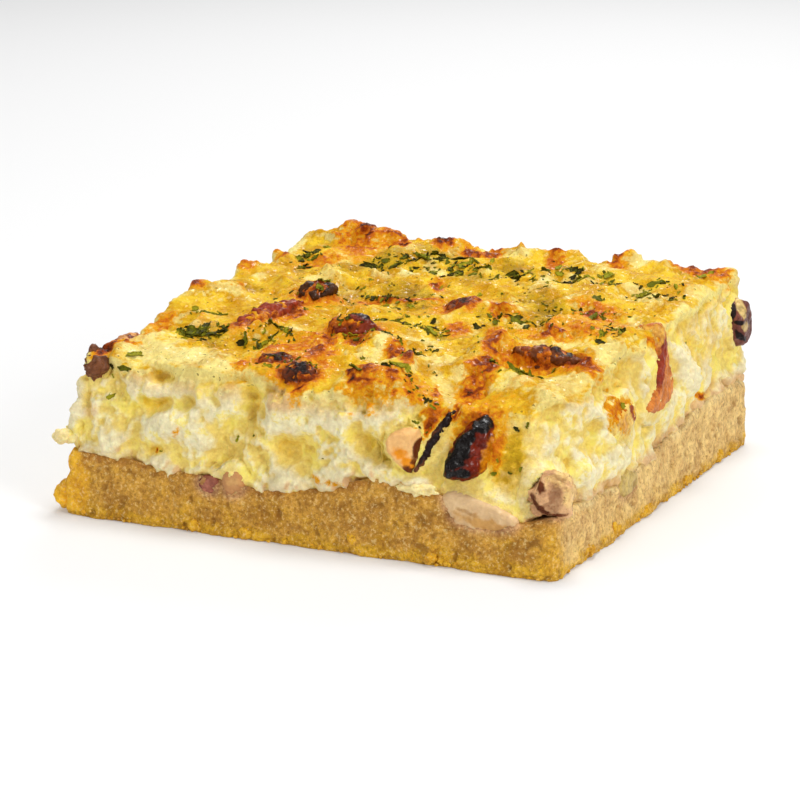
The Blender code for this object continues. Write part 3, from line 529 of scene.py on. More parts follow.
BROWNED = [
    (-33.2, 41.8, 12.3, 5.2, -64, 0.50), (-32.8, 44.4, 5.2, 2.5, -64, 0.80), (-26.3, 43.8, 6.1, 2.9, -65, 0.50),
    (-15.3, 45.2, 4.1, 2.5, -66, 0.72), (-44.3, 30.0, 3.5, 2.5, 80, 0.40), (-45.7, 15.5, 3.8, 2.4, -60, 0.35),
    (-46.0, -5.6, 2.7, 1.8, -59, 0.55), (-35.8, 27.0, 6.4, 3.5, 58, 0.42), (-8.5, 8.1, 11.3, 2.1, 7, 0.55),
    (-20.3, -13.1, 4.9, 2.7, 75, 0.55), (-0.7, -24.7, 5.6, 3.4, -64, 0.60), (-11.3, -29.6, 10.6, 6.2, 77, 0.40),
    (-8.3, -42.2, 3.8, 2.1, -90, 0.75), (-1.4, -47.3, 3.7, 1.6, -63, 0.75), (-14.6, -45.6, 3.1, 2.1, -77, 0.40),
    (-7.0, -24.7, 4.8, 1.7, -64, 0.60), (-44.6, -20.8, 3.6, 2.6, -81, 0.45), (8.9, -29.9, 6.1, 2.2, -65, 0.62),
    (8.8, -46.9, 2.2, 1.3, -64, 0.85), (13.0, -49.2, 6.4, 3.6, -64, 0.55), (16.1, -47.4, 2.9, 1.4, -65, 0.60),
    (-4.0, 17.0, 4.5, 1.8, -66, 0.60), (-22.9, 42.1, 5.1, 1.7, -65, 0.70), (-7.3, 42.3, 5.8, 2.8, -48, 0.58),
    (-3.7, 44.3, 5.4, 2.6, -80, 0.58), (10.4, 44.1, 6.9, 2.4, -68, 0.55), (23.6, 45.0, 6.8, 2.4, -69, 0.55),
    (22.7, 48.3, 2.0, 0.8, -70, 0.70), (41.3, 45.9, 8.0, 3.2, -16, 0.60), (12.1, 38.4, 5.7, 2.2, -68, 0.45),
    (7.6, 3.6, 6.2, 3.6, -40, 0.72), (17.0, 0.9, 4.3, 2.7, -68, 0.55), (32.3, 12.1, 7.2, 4.1, -26, 0.45),
    (34.5, 2.5, 2.8, 2.0, -38, 0.60), (30.7, -6.3, 3.8, 3.2, 33, 0.60), (34.7, -4.7, 2.7, 2.0, -36, 0.40),
    (24.9, -22.0, 7.0, 2.2, -67, 0.60), (27.2, -26.0, 9.8, 3.0, 86, 0.45), (43.3, -23.4, 5.4, 3.1, -22, 0.60),
    (27.1, -33.0, 8.8, 3.1, -89, 0.68), (36.9, -37.6, 7.1, 4.3, -68, 0.12), (12.1, -9.2, 4.2, 2.6, -55, 0.50),
    (13.6, -35.5, 4.5, 1.5, -65, 0.60), (19.6, -45.9, 4.5, 2.0, -57, 0.60), (21.1, -47.6, 9.7, 3.6, -65, 0.45),
    (23.8, -45.4, 7.6, 1.4, -71, 0.60), (12.4, -49.5, 8.5, 3.9, -64, 0.60), (9.1, -47.1, 2.2, 1.4, -64, 0.90),
    (33.0, -5.0, 12.0, 6.0, 20, 0.35), (-22.0, 2.0, 5.0, 4.0, 0, 0.55), (35.0, -21.0, 8.0, 3.0, -2, 0.50),
    (-44.4, -44.8, 3.0, 1.3, 40, 0.75), (-41.4, -42.4, 3.6, 1.1, 30, 0.60), (-3.5, -38.5, 10.0, 2.6, -31, 0.42),
    (-15.0, -35.0, 6.0, 2.0, -40, 0.35), (-5.0, -33.5, 6.0, 3.6, -40, 0.58), (34.5, 4.0, 6.0, 5.0, 0, 0.42),
]
OLIVE = [
    (-30.0, -28.0, 9.0, 4.0, -66, 0.60), (22.5, 9.5, 14.0, 5.0, -55, 0.75), (-24.0, 29.0, 13.0, 7.5, 72, 0.65),
    (-5.5, 10.0, 16.0, 4.5, -37, 0.75), (-19.0, 4.5, 13.0, 5.5, -61, 0.65), (-13.0, 38.0, 9.0, 4.0, -43, 0.75),
    (4.5, 36.0, 5.5, 4.5, -65, 0.75), (-39.5, 4.0, 9.0, 3.5, -32, 0.50), (15.0, 35.5, 6.0, 3.5, -72, 0.70),
    (-38.0, 26.0, 15.0, 2.0, -66, 0.70), (1.0, 25.0, 6.0, 4.7, -54, 0.65), (38.0, 45.0, 6.0, 2.2, -44, 0.70),
    (10.0, -12.5, 6.0, 1.8, -54, 0.60), (13.0, 0.0, 7.0, 1.4, -64, 0.50), (21.1, -47.6, 7.0, 2.6, -65, 0.80),
    (25.0, 3.6, 5.1, 4.6, -79, 0.70), (43.0, 8.0, 5.0, 2.0, -60, 0.40), (33.0, 9.0, 7.0, 2.6, -25, 0.50),
]
PALE = [
    (-40.5, -36.0, 17.0, 5.0, -67, 0.80), (-47.0, 33.0, 12.0, 2.6, 90, 0.90), (44.7, -14.0, 8.5, 2.7, -81, 0.80),
    (45.0, -40.0, 8.0, 4.0, -60, 0.80), (5.0, -27.0, 9.0, 1.8, -75, 0.80), (28.0, 46.0, 5.0, 2.6, 90, 0.80),
    (-47.0, 9.0, 9.0, 1.8, -83, 0.80), (47.0, 18.0, 6.0, 1.8, -83, 0.70), (47.0, 41.0, 8.0, 1.6, -70, 0.70),
    (-12.5, 23.0, 3.8, 2.6, -79, 0.80), (15.6, 25.5, 4.6, 1.8, -80, 0.80), (22.0, -2.0, 4.4, 1.4, -59, 0.70),
    (34.0, 24.0, 5.0, 2.0, 20, 0.50), (-5.0, 47.0, 4.0, 2.0, 0, 0.60), (-28.0, 14.0, 7.0, 2.6, 60, 0.60),
    (36.0, -12.0, 5.0, 3.0, 30, 0.60), (-14.0, -36.0, 6.0, 3.0, 20, 0.50), (10.0, -20.0, 6.0, 2.2, -20, 0.70),
    (-31.0, -43.5, 13.0, 6.0, -8, 0.90), (-18.0, -47.5, 6.0, 2.4, 0, 0.80),
]
# Yolk yellow on the front wall; the spots that sit in the wall's hollows are painted shade, the rest the
# filling's own yellow.
FRONT_YOLK_AND_SHADE = [
    (-31.2, 28.4, 2.1, 0.9, 16, 0.8), (-30.0, 23.2, 2.2, 0.9, 20, 0.8), (-30.6, 14.2, 2.0, 1.2, 11, 0.7),
    (-12.1, 27.4, 2.0, 1.6, 71, 0.6), (-10.6, 22.8, 3.0, 1.0, 89, 0.5), (-33.8, 15.9, 2.4, 1.6, 19, 0.4),
    (39.0, 20.2, 4.0, 5.6, -8, 1.15), (44.7, 25.5, 2.6, 0.8, 12, 0.5), (16.0, 22.4, 2.4, 1.4, -40, 0.5),
    (-9.6, 20.0, 2.6, 2.2, 0, 0.5),
]
FRONT_PINK = [
    (-3.7, 27.4, 4.1, 3.0, 19, 0.75), (-44.4, 20.2, 2.4, 1.8, 19, 0.6), (1.1, 17.8, 1.8, 0.8, 9, 0.4),
    (-44.0, 25.0, 3.0, 2.2, 0, 0.3),
]
FRONT_ORANGE = [
    (-25.0, 18.9, 1.5, 0.9, 64, 0.20), (3.3, 13.0, 2.2, 1.2, -9, 0.17), (6.6, 12.8, 4.4, 1.0, 0, 0.16),
    (-30.4, 14.0, 0.5, 0.5, 0, 0.8), (22.3, 13.4, 4.0, 0.7, -22, 0.2), (36.4, 21.5, 1.7, 4.6, 0, 0.36),
    (22.9, 23.8, 3.4, 1.3, 66, 0.60), (26.8, 26.4, 2.0, 1.3, 10, 0.72), (23.8, 26.6, 2.6, 1.4, 20, 0.50),
]
# Olive on the front wall; the first spot, in the hollow left of the chicken, is painted shade.
FRONT_OLIVE_AND_SHADE = [
    (15.1, 19.2, 3.9, 2.2, -50, 0.7), (1.1, 17.8, 1.7, 0.8, 9, 0.45), (39.4, 19.6, 3.4, 4.8, 0, 0.6),
    (21.8, 25.4, 3.2, 1.6, 20, 0.75), (28.4, 23.4, 1.2, 2.6, 20, 0.5),
]
# The same on the right wall: yolk yellow, and painted shade where a spot sits in a hollow.
RIGHT_YOLK_AND_SHADE = [(26.5, 25.7, 18.1, 6.2, -15, 0.55), (-12.0, 28.0, 5.0, 4.0, 0, 0.5)]
RIGHT_PINK = [(5.5, 22.8, 6.9, 3.7, -20, 0.4)]
RIGHT_ORANGE = [
    (-19.1, 22.6, 6.5, 4.2, -27, 0.38), (25.9, 15.5, 5.4, 0.8, -14, 0.55), (2.0, 33.0, 4.0, 3.0, 0, 0.4),
]
ragged = 0.30 * noise_at(smooth_skin, 2.4, 71.0) + 0.22 * noise_at(smooth_skin, 0.9, 73.0)
baked_spots = spot_mask(smooth_skin[:, 0], smooth_skin[:, 1], ragged, BROWNED)
print("spots on the top", len(BROWNED) + len(OLIVE) + len(PALE))

# %% [markdown]
# Now the relief. The large curds and folds are the solids' own, so both models have the same lumps. Over
# them come torn shelves, two smaller sizes of curd and holes on the cut walls, and wrinkles and blisters on
# the baked skin. The near corner was smeared by the knife, and stays smoother. Where a piece shows, the skin
# is kept under it.

# %% Crests that stand up sharply
CRESTS = [
    (8.6, -30.2, 3.4, 1.7, -60, 1.5), (9.4, -46.6, 3.2, 1.4, -10, 1.3), (24.6, -19.0, 5.0, 1.5, 98, 1.6),
    (13.6, -35.0, 3.4, 1.6, -55, 1.3), (-4.0, 17.0, 3.0, 1.6, 0, 1.5), (23.6, 45.4, 2.4, 1.8, 30, 0.8),
    (10.4, 45.6, 3.0, 2.0, 0, 1.2), (-45.6, 15.5, 2.6, 1.4, 20, 1.2), (-46.2, -5.6, 2.6, 1.3, 80, 1.1),
    (-46.4, 31.6, 2.2, 1.4, 60, 1.4), (17.0, 1.6, 3.6, 1.4, 10, 1.2), (30.6, -5.6, 5.0, 1.3, -22, 1.4),
    (34.4, 4.0, 3.0, 1.4, -30, 1.0), (-15.3, 45.4, 3.4, 1.4, 0, 1.0), (43.0, -22.0, 4.0, 1.4, -20, 0.8),
    (-33.5, 44.0, 3.0, 1.6, 40, 1.2), (-27.0, 44.6, 2.4, 1.4, -30, 1.0), (5.0, -16.0, 3.0, 1.3, -20, 0.9),
]


def crests(x, y):
    """Rise of the sharp crests, each a tent over an oval."""
    total = np.zeros(len(x))
    for *place, rise in CRESTS:
        total += rise * np.clip(1 - oval(x, y, *place), 0, 1) ** 1.3
    return total


def only(mask, points, values_at, *settings):
    """A noise that is worked out only where the mask is set."""
    values = np.zeros(len(points))
    values[mask] = values_at(points[mask], *settings)
    return values


# %% The fine relief of the walls
skin_x, skin_y, skin_z = smooth_skin.T
wallness = 1 - smooth_step(0.25, 0.75, np.abs(smooth_normals[:, 2]))
topness = 1 - wallness
on_wall, on_top = wallness > 0.01, wallness < 0.99
smeared = slump(skin_x) * smooth_step(-38, -44, skin_y)

large_curds = 1.2 * (only(on_wall, smooth_skin, curds_at, 8.5, 1.3) - 0.8)
large_curds += 1.2 * only(on_wall, smooth_skin, noise_at, 7.5, 5.1)
middle_curds = only(on_wall, smooth_skin, curds_at, 3.8, 2.7) - 0.74
small_curds = only(on_wall, smooth_skin, curds_at, 1.9, 6.1) - 0.74
crumbly = smooth_step(-0.4, 0.3, only(on_wall, smooth_skin, noise_at, 12.0, 21.0))
shelves = only(on_wall, smooth_skin, torn_at, 6.5, 17.0)
holes = smooth_step(0.26, 0.46, only(on_wall, smooth_skin, noise_at, 4.4, 31.0))
grit = noise_at(smooth_skin, 0.9, 41.0)
chips = noise_at(smooth_skin, 1.7, 43.0)
wall_relief = large_curds + 2.1 * shelves + crumbly * (0.8 * middle_curds + 0.8 * small_curds)
wall_relief += (0.12 + 0.22 * crumbly) * grit + (0.3 + 0.3 * crumbly) * chips - 1.1 * holes * crumbly - 0.2
above_foot = skin_z - pastry_top(skin_x, skin_y) + SUNK + 0.5 * chips + 0.8 * noise_at(smooth_skin, 3.4, 47.0)
foot_dive = 1.9 * smooth_step(2.6, 0.0, above_foot)

# %% The fine relief of the top
olive_pools = spot_mask(skin_x, skin_y, ragged, OLIVE)
folds = 0.8 * only(on_top, smooth_skin, noise_at, 9.0, 3.0)
folds += 0.5 * only(on_top, smooth_skin, noise_at, 4.6, 8.0)
ledges = only(on_top, smooth_skin, ridges_at, 12.0, 13.0)
blisters = only(on_top, smooth_skin, curds_at, 3.2, 9.0) - 0.8
bubbles = only(on_top, smooth_skin, curds_at, 1.5, 11.0) - 0.8
crumb = np.clip(baked_spots + smooth_step(-0.1, 0.4, only(on_top, smooth_skin, noise_at, 8.0, 51.0)), 0, 1)
crumb *= 1 - 0.8 * olive_pools
top_relief = folds + 1.3 * ledges**1.5 + (0.3 + 1.0 * crumb) * blisters + (0.3 + 0.7 * crumb) * bubbles
jagged = np.clip(crumb + smooth_step(38, 45, skin_y), 0, 1.4)
top_relief += (0.12 + 0.18 * crumb) * grit + (0.14 + 0.30 * jagged) * chips
top_relief += 0.45 * jagged * only(on_top, smooth_skin, torn_at, 4.0, 19.0)
top_relief += crests(skin_x, skin_y) - 0.5 * olive_pools

# %% The filling's skin
relief = wallness * (1 - 0.55 * smeared) * wall_relief + topness * top_relief
relief += wall_forms(smooth_skin, smooth_normals) - foot_dive * wallness
relief = np.minimum(relief, 0.15 + 4 * smooth_step(0.3, 2.6, near_piece))
directions = smooth_normals.copy()
directions[:edge_count, 2] = 0
cover = 0.9 * noise_at(smooth_skin, 2.4, 33.0) + 0.9 * noise_at(smooth_skin, 1.0, 35.0)
at_corner = smooth_step(38, 42, skin_x) * smooth_step(-34, -38, skin_y)
faces_right, above_mushroom = smooth_step(0.66, 0.84, directions[:, 0]), smooth_step(16.6, 18.4, skin_z)
cover += at_corner * 1.6 * np.maximum(faces_right, above_mushroom)
cover -= 0.6 * smooth_step(44, 46, skin_x) * smooth_step(13, 8, np.abs(skin_y + 1))
cover -= 1.2 * smooth_step(-41, -43, skin_x) * smooth_step(-40, -43, skin_y)
flush_rises = piece_rise(smooth_skin, directions, flush_tree, near_piece)
rises = piece_rise(smooth_skin, directions, pieces_tree, near_piece)
banked = banked_up(relief, flush_rises, skin_quads, 4.0, 36)
banked = banked_up(banked, rises, skin_quads, 0.6, 8) + 0.2 * chips * smooth_step(4.0, 1.0, near_piece)
relief += (banked - relief) * smooth_step(1.8, 3.0, above_foot)
cover = np.where(np.isnan(flush_rises), -0.6, cover + 0.3 * topness) - 3.0 * smooth_step(3.4, 2.4, above_foot)
relief = fitted_to(relief, rises, cover)
skin = smooth_skin + directions * relief[:, None]
corners = np.array([[corner[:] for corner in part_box(name)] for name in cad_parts]) / MM
box_low, box_high = corners[:, 0].min(axis=0) + 0.03, corners[:, 1].max(axis=0) - 0.03
skin = np.clip(skin, box_low, box_high)
skin_normals = vertex_normals(skin, skin_quads)
print("relief", round(float(relief.min()), 2), "to", round(float(relief.max()), 2), "mm")

# %% The filling's masks
front_share, front_along = facing(skin, skin_normals, "front")
right_share, right_along = facing(skin, skin_normals, "right")
skin_up = skin[:, 2]
lip = np.clip(topness + 0.8 * smooth_step(5.0, 0.5, top_height(skin[:, 0], skin[:, 1]) - skin_up), 0, 1)


def wall_mask(front_spots, right_spots):
    """Spots painted on the front and on the right wall."""
    front = front_share * spot_mask(front_along, skin_up, ragged, front_spots)
    return np.maximum(front, right_share * spot_mask(right_along, skin_up, ragged, right_spots))


cavity = relief - relaxed(relief[:, None], skin_quads, 60, 0)[:, 0]
crest_height = top_relief * topness
flat = smooth_step(0.45, 0.85, skin_normals[:, 2])
brown = lip * baked_spots * (0.8 + 0.4 * smooth_step(-0.4, 0.6, cavity))
brown = np.maximum(brown, topness * 0.38 * smooth_step(0.9, 3.0, crest_height + 0.5 * ragged))
brown *= 0.55 + 0.45 * flat
halo = 0.40 * np.exp(-near_burnt / 1.2) * lip + 0.26 * np.exp(-near_burnt / 4.0) * topness
brown = np.maximum(brown, halo * (1 + ragged))
brown = np.maximum(brown, wall_mask(FRONT_ORANGE, RIGHT_ORANGE))
scorched = smooth_step(2.2, 0.8, near_left + 0.8 * ragged) * smooth_step(-41.6, -43.0, skin[:, 0])
brown = np.maximum(brown, 0.75 * scorched * smooth_step(29.5, 31.0, skin_up))
back_rim = smooth_step(44.0, 47.5, skin[:, 1]) * smooth_step(20, 6, skin[:, 0])
back_rim *= smooth_step(-0.4, 0.5, cavity)
brown = np.maximum(brown, 0.26 * lip * back_rim * (1 + ragged))
yellow_here = 0.35 + 0.65 * smooth_step(-0.3, 0.3, noise_at(skin, 9.0, 61.0))
# Painted shade: yolk yellow laid into the creases and hollows of the walls.
crease_shade = 0.5 * smooth_step(-0.1, -1.0, cavity) + 0.1 * smooth_step(-0.3, -2.0, relief + foot_dive)
yolk_and_shade = wallness * yellow_here * crease_shade
yolk_and_shade = np.maximum(yolk_and_shade, wall_mask(FRONT_YOLK_AND_SHADE, RIGHT_YOLK_AND_SHADE))
# Olive: herb oil in its pools, and painted shade in the dips of the top.
olive_and_shade = topness * (0.85 * olive_pools + 0.42 * smooth_step(0.0, -0.8, cavity))
olive_and_shade = np.maximum(olive_and_shade, wall_mask(FRONT_OLIVE_AND_SHADE, []))
foot_tone = wallness * smooth_step(3.4, 0.4, skin_z - pastry_top(skin_x, skin_y) + 1.2 * chips)
pink = np.maximum(wall_mask(FRONT_PINK, RIGHT_PINK), (0.3 + 0.6 * right_share) * foot_tone)
# Pale cream on the top: its own pale patches, and painted light on its steep faces.
pale_and_lit = np.maximum(spot_mask(skin[:, 0], skin[:, 1], ragged, PALE), 0.7 * (1 - flat) * (1 - olive_and_shade))
pale_patches = smooth_step(0.05, 0.4, noise_at(skin, 6.5, 63.0) + 0.4 * ragged)
pale_and_lit = lip * np.maximum(pale_and_lit, 0.55 * pale_patches * (1 - olive_and_shade))
# Painted light and shade on the walls: cream on raised curds, butter yellow in creases and next to the pieces.
curd_light_and_shade = wallness * (0.5 * smooth_step(-0.5, 0.4, cavity) + 0.5 * smooth_step(-1.4, 0.9, relief))
curd_light_and_shade *= 1 - 0.6 * smooth_step(2.4, 0.6, near_piece + chips)
filling_masks = {"brown": brown, "yolk_and_shade": yolk_and_shade, "olive_and_shade": olive_and_shade, "pink": pink, "curd_shading": curd_light_and_shade, "lip": lip,
                 "pale_and_lit": pale_and_lit}
print("browned share", round(float((brown > 0.4).mean()), 3))

# %% [markdown]
# The skin becomes three pieces, the walls and the two halves of the top, because a piece should stay under
# 200,000 triangles. Their shared edges would show as lines if each were shaded alone, so all keep the normals
# of the whole skin.

# %% The filling's meshes
def add_piece(name, points, faces, masks=None, normals=None):
    """A smooth-shaded object from points in millimetres, with masks and normals kept on its points."""
    mesh = bpy.data.meshes.new(name)
    mesh.from_pydata((np.asarray(points) * MM).tolist(), [], [tuple(int(k) for k in face) for face in faces])
    mesh.validate()
    for label, values in (masks or {}).items():
        layer = mesh.attributes.new(label, "FLOAT", "POINT")
        layer.data.foreach_set("value", np.ascontiguousarray(values, dtype=np.float32))
    mesh.shade_smooth()
    if normals is not None:
        mesh.normals_split_custom_set_from_vertices(normals.tolist())
    piece = bpy.data.objects.new(name, mesh)
    bpy.context.scene.collection.objects.link(piece)
    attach(piece, "root")
    return piece


def part_of_skin(name, quads):
    """The part of the filling's skin that some of its faces make up."""
    used, local = np.unique(quads.ravel(), return_inverse=True)
    masks = {label: values[used] for label, values in filling_masks.items()}
    piece = add_piece(name, skin[used], local.reshape(-1, 4), masks, skin_normals[used])
    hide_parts("filling")
    return piece


front_half = skin[top_quads].mean(axis=1)[:, 1] < 0
filling_parts = [
    part_of_skin("filling_wall", wall_quads),
    part_of_skin("filling_top_front", top_quads[front_half]),
    part_of_skin("filling_top_back", top_quads[~front_half]),
]
print("triangles", [2 * len(part.data.polygons) for part in filling_parts])

# %% [markdown]
# Short crust is flour bound with fat, so a cut face looks like coarse sand. It was pressed against a greased
# tray, which fried the bottom edge and the outer corner golden. A finer wall than the solid's carries the
# sand grains, and small lumps crowd along the foot.

# %% The pastry's shape
PASTRY_ROWS = 40
FOOT_BAND = 2.6


def pastry_point(across, along, up):
    """Points of the pastry in millimetres, with its taper and a worn bottom edge."""
    inset = PASTRY_TAPER * up + 0.3 * (1 - smooth_step(0, 0.1, up)) + 0.4 * smooth_step(0.9, 1, up)
    x, y = plan_point(across, along, HALF_WIDTH, HALF_DEPTH)
    x = x * (1 - inset / HALF_WIDTH)
    y = y * (1 - inset / HALF_DEPTH)
    return np.column_stack([x, y, up * pastry_top(x, y)])


rows = np.linspace(0, 1, PASTRY_ROWS + 1)
round_i, round_j = np.tile(edge_i, PASTRY_ROWS + 1), np.tile(edge_j, PASTRY_ROWS + 1)
crust = pastry_point(round_i * 2 / STEPS - 1, round_j * 2 / STEPS - 1, np.repeat(rows, edge_count))
crust_quads = ring_quads(PASTRY_ROWS, edge_count)
outward = vertex_normals(crust, crust_quads)
outward[:, 2] = 0
outward /= np.linalg.norm(outward, axis=1)[:, None]
near_crust_piece = distances(crust, pieces_tree, 4.0)
wide_lumps, lumpy = noise_at(crust, 7.0, 4.0), noise_at(crust, 2.6, 9.0)
foot = smooth_step(FOOT_BAND, 0.3, crust[:, 2] + 1.4 * noise_at(crust, 5.0, 15.0) + 0.5 * lumpy)
sand = curds_at(crust, 1.25, 3.0) - 0.8
grains = noise_at(crust, 0.8, 6.0)
pits = smooth_step(0.36, 0.62, noise_at(crust, 1.8, 27.0))
ledge = smooth_step(0.0, 0.25, noise_at(crust * [1, 1, 2.2], 9.0, 57.0))
crust_relief = 0.35 * wide_lumps + 0.35 * lumpy + 0.35 * ledge - 0.15
crust_relief += 0.34 * sand + 0.18 * grains - 0.35 * pits + 0.55 * foot * (curds_at(crust, 2.6, 12.0) - 0.5)
crust_cover = 0.9 * noise_at(crust, 2.4, 33.0) + 0.9 * noise_at(crust, 1.0, 35.0) - 2.0 * (crust[:, 0] > 10)
crust_rises = piece_rise(crust, outward, pieces_tree, near_crust_piece)
crust_relief = np.minimum(crust_relief, 0.1 + 3 * smooth_step(0.3, 2.0, near_crust_piece))
crust_relief = banked_up(crust_relief, crust_rises, crust_quads, 0.8, 10)
crust_relief = fitted_to(crust_relief, crust_rises, crust_cover)
crust_skin = np.clip(crust + outward * crust_relief[:, None], box_low, box_high)

# %% The pastry's masks
corner_x, corner_y, corner_z = crust_skin.T
left_edge = smooth_step(-42.4, -47.0, corner_x + 1.6 * lumpy) * smooth_step(-44.0, -49.0, corner_y)
near_edge = smooth_step(6.0, 1.0, np.hypot(corner_x - HALF_WIDTH, corner_y + HALF_DEPTH))
share_up = np.repeat(rows, edge_count)
crust_masks = {
    "gold": np.clip(0.9 * foot + 0.3 * near_edge + 0.35 * smooth_step(8, 2, corner_z + 3 * wide_lumps), 0, 1),
    "fried_edge": np.clip(left_edge + 0.3 * near_edge, 0, 1) * (1 - foot),
    "stain": np.exp(-near_crust_piece / 1.3),
    "toast": smooth_step(0.84, 0.98, share_up + 0.08 * noise_at(crust, 3.0, 19.0)),
    # Painted light: the right face of the crust is coloured paler.
    "pale_and_lit": smooth_step(0.4, 0.8, outward[:, 0]) * smooth_step(-50.5, -44.0, corner_y),
    # Painted shade in the crust's pits and in the hollows between its sand grains.
    "pit_shade": np.clip(pits + smooth_step(0.0, -0.35, sand + 0.6 * grains) * 0.6, 0, 1),
}
inner = crust_skin[-edge_count:] * np.array([0.94, 0.94, 1.0])
inner[:, 2] = pastry_top(inner[:, 0], inner[:, 1]) - 0.6
crust_points = np.vstack([crust_skin, inner])
last_row = PASTRY_ROWS * edge_count
rim_quads = ring_quads(1, edge_count) + last_row
caps = [list(range(edge_count))[::-1], list(range(last_row + edge_count, last_row + 2 * edge_count))]
crust_masks = {label: np.concatenate([values, values[-edge_count:]]) for label, values in crust_masks.items()}
pastry = add_piece("pastry_crust", crust_points, [*crust_quads, *rim_quads, *caps], crust_masks)
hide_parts("pastry")
print("pastry triangles", 2 * len(crust_quads))

# %% [markdown]
# The pieces of mushroom, meat and onion keep the exact shape of their solids, but a cooked piece has worn
# edges and fibres. Each is copied, cut into cells of a quarter of a millimetre by a voxel remesh, smoothed a
# little and then given a grain of its own.

# %% A finer copy of a solid
CELL = 0.25


def fine_copy(name, wear):
    """A piece's solid in small even cells, worn by some rounds: its points and faces in millimetres."""
    work = bpy.data.objects.new(name + "_work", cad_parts[name].data.copy())
    bpy.context.scene.collection.objects.link(work)
    cells = work.modifiers.new("cells", "REMESH")
    cells.mode = "VOXEL"
    cells.voxel_size = CELL * MM
    worn = work.modifiers.new("worn", "SMOOTH")
    worn.factor = 0.5
    worn.iterations = wear
    bpy.context.view_layer.update()
    mesh = bpy.data.meshes.new_from_object(work.evaluated_get(bpy.context.evaluated_depsgraph_get()))
    bpy.data.objects.remove(work)
    points = np.array([v.co[:] for v in mesh.vertices]) / MM
    faces = np.array([p.vertices[:] for p in mesh.polygons])
    bpy.data.meshes.remove(mesh)
    return points, faces


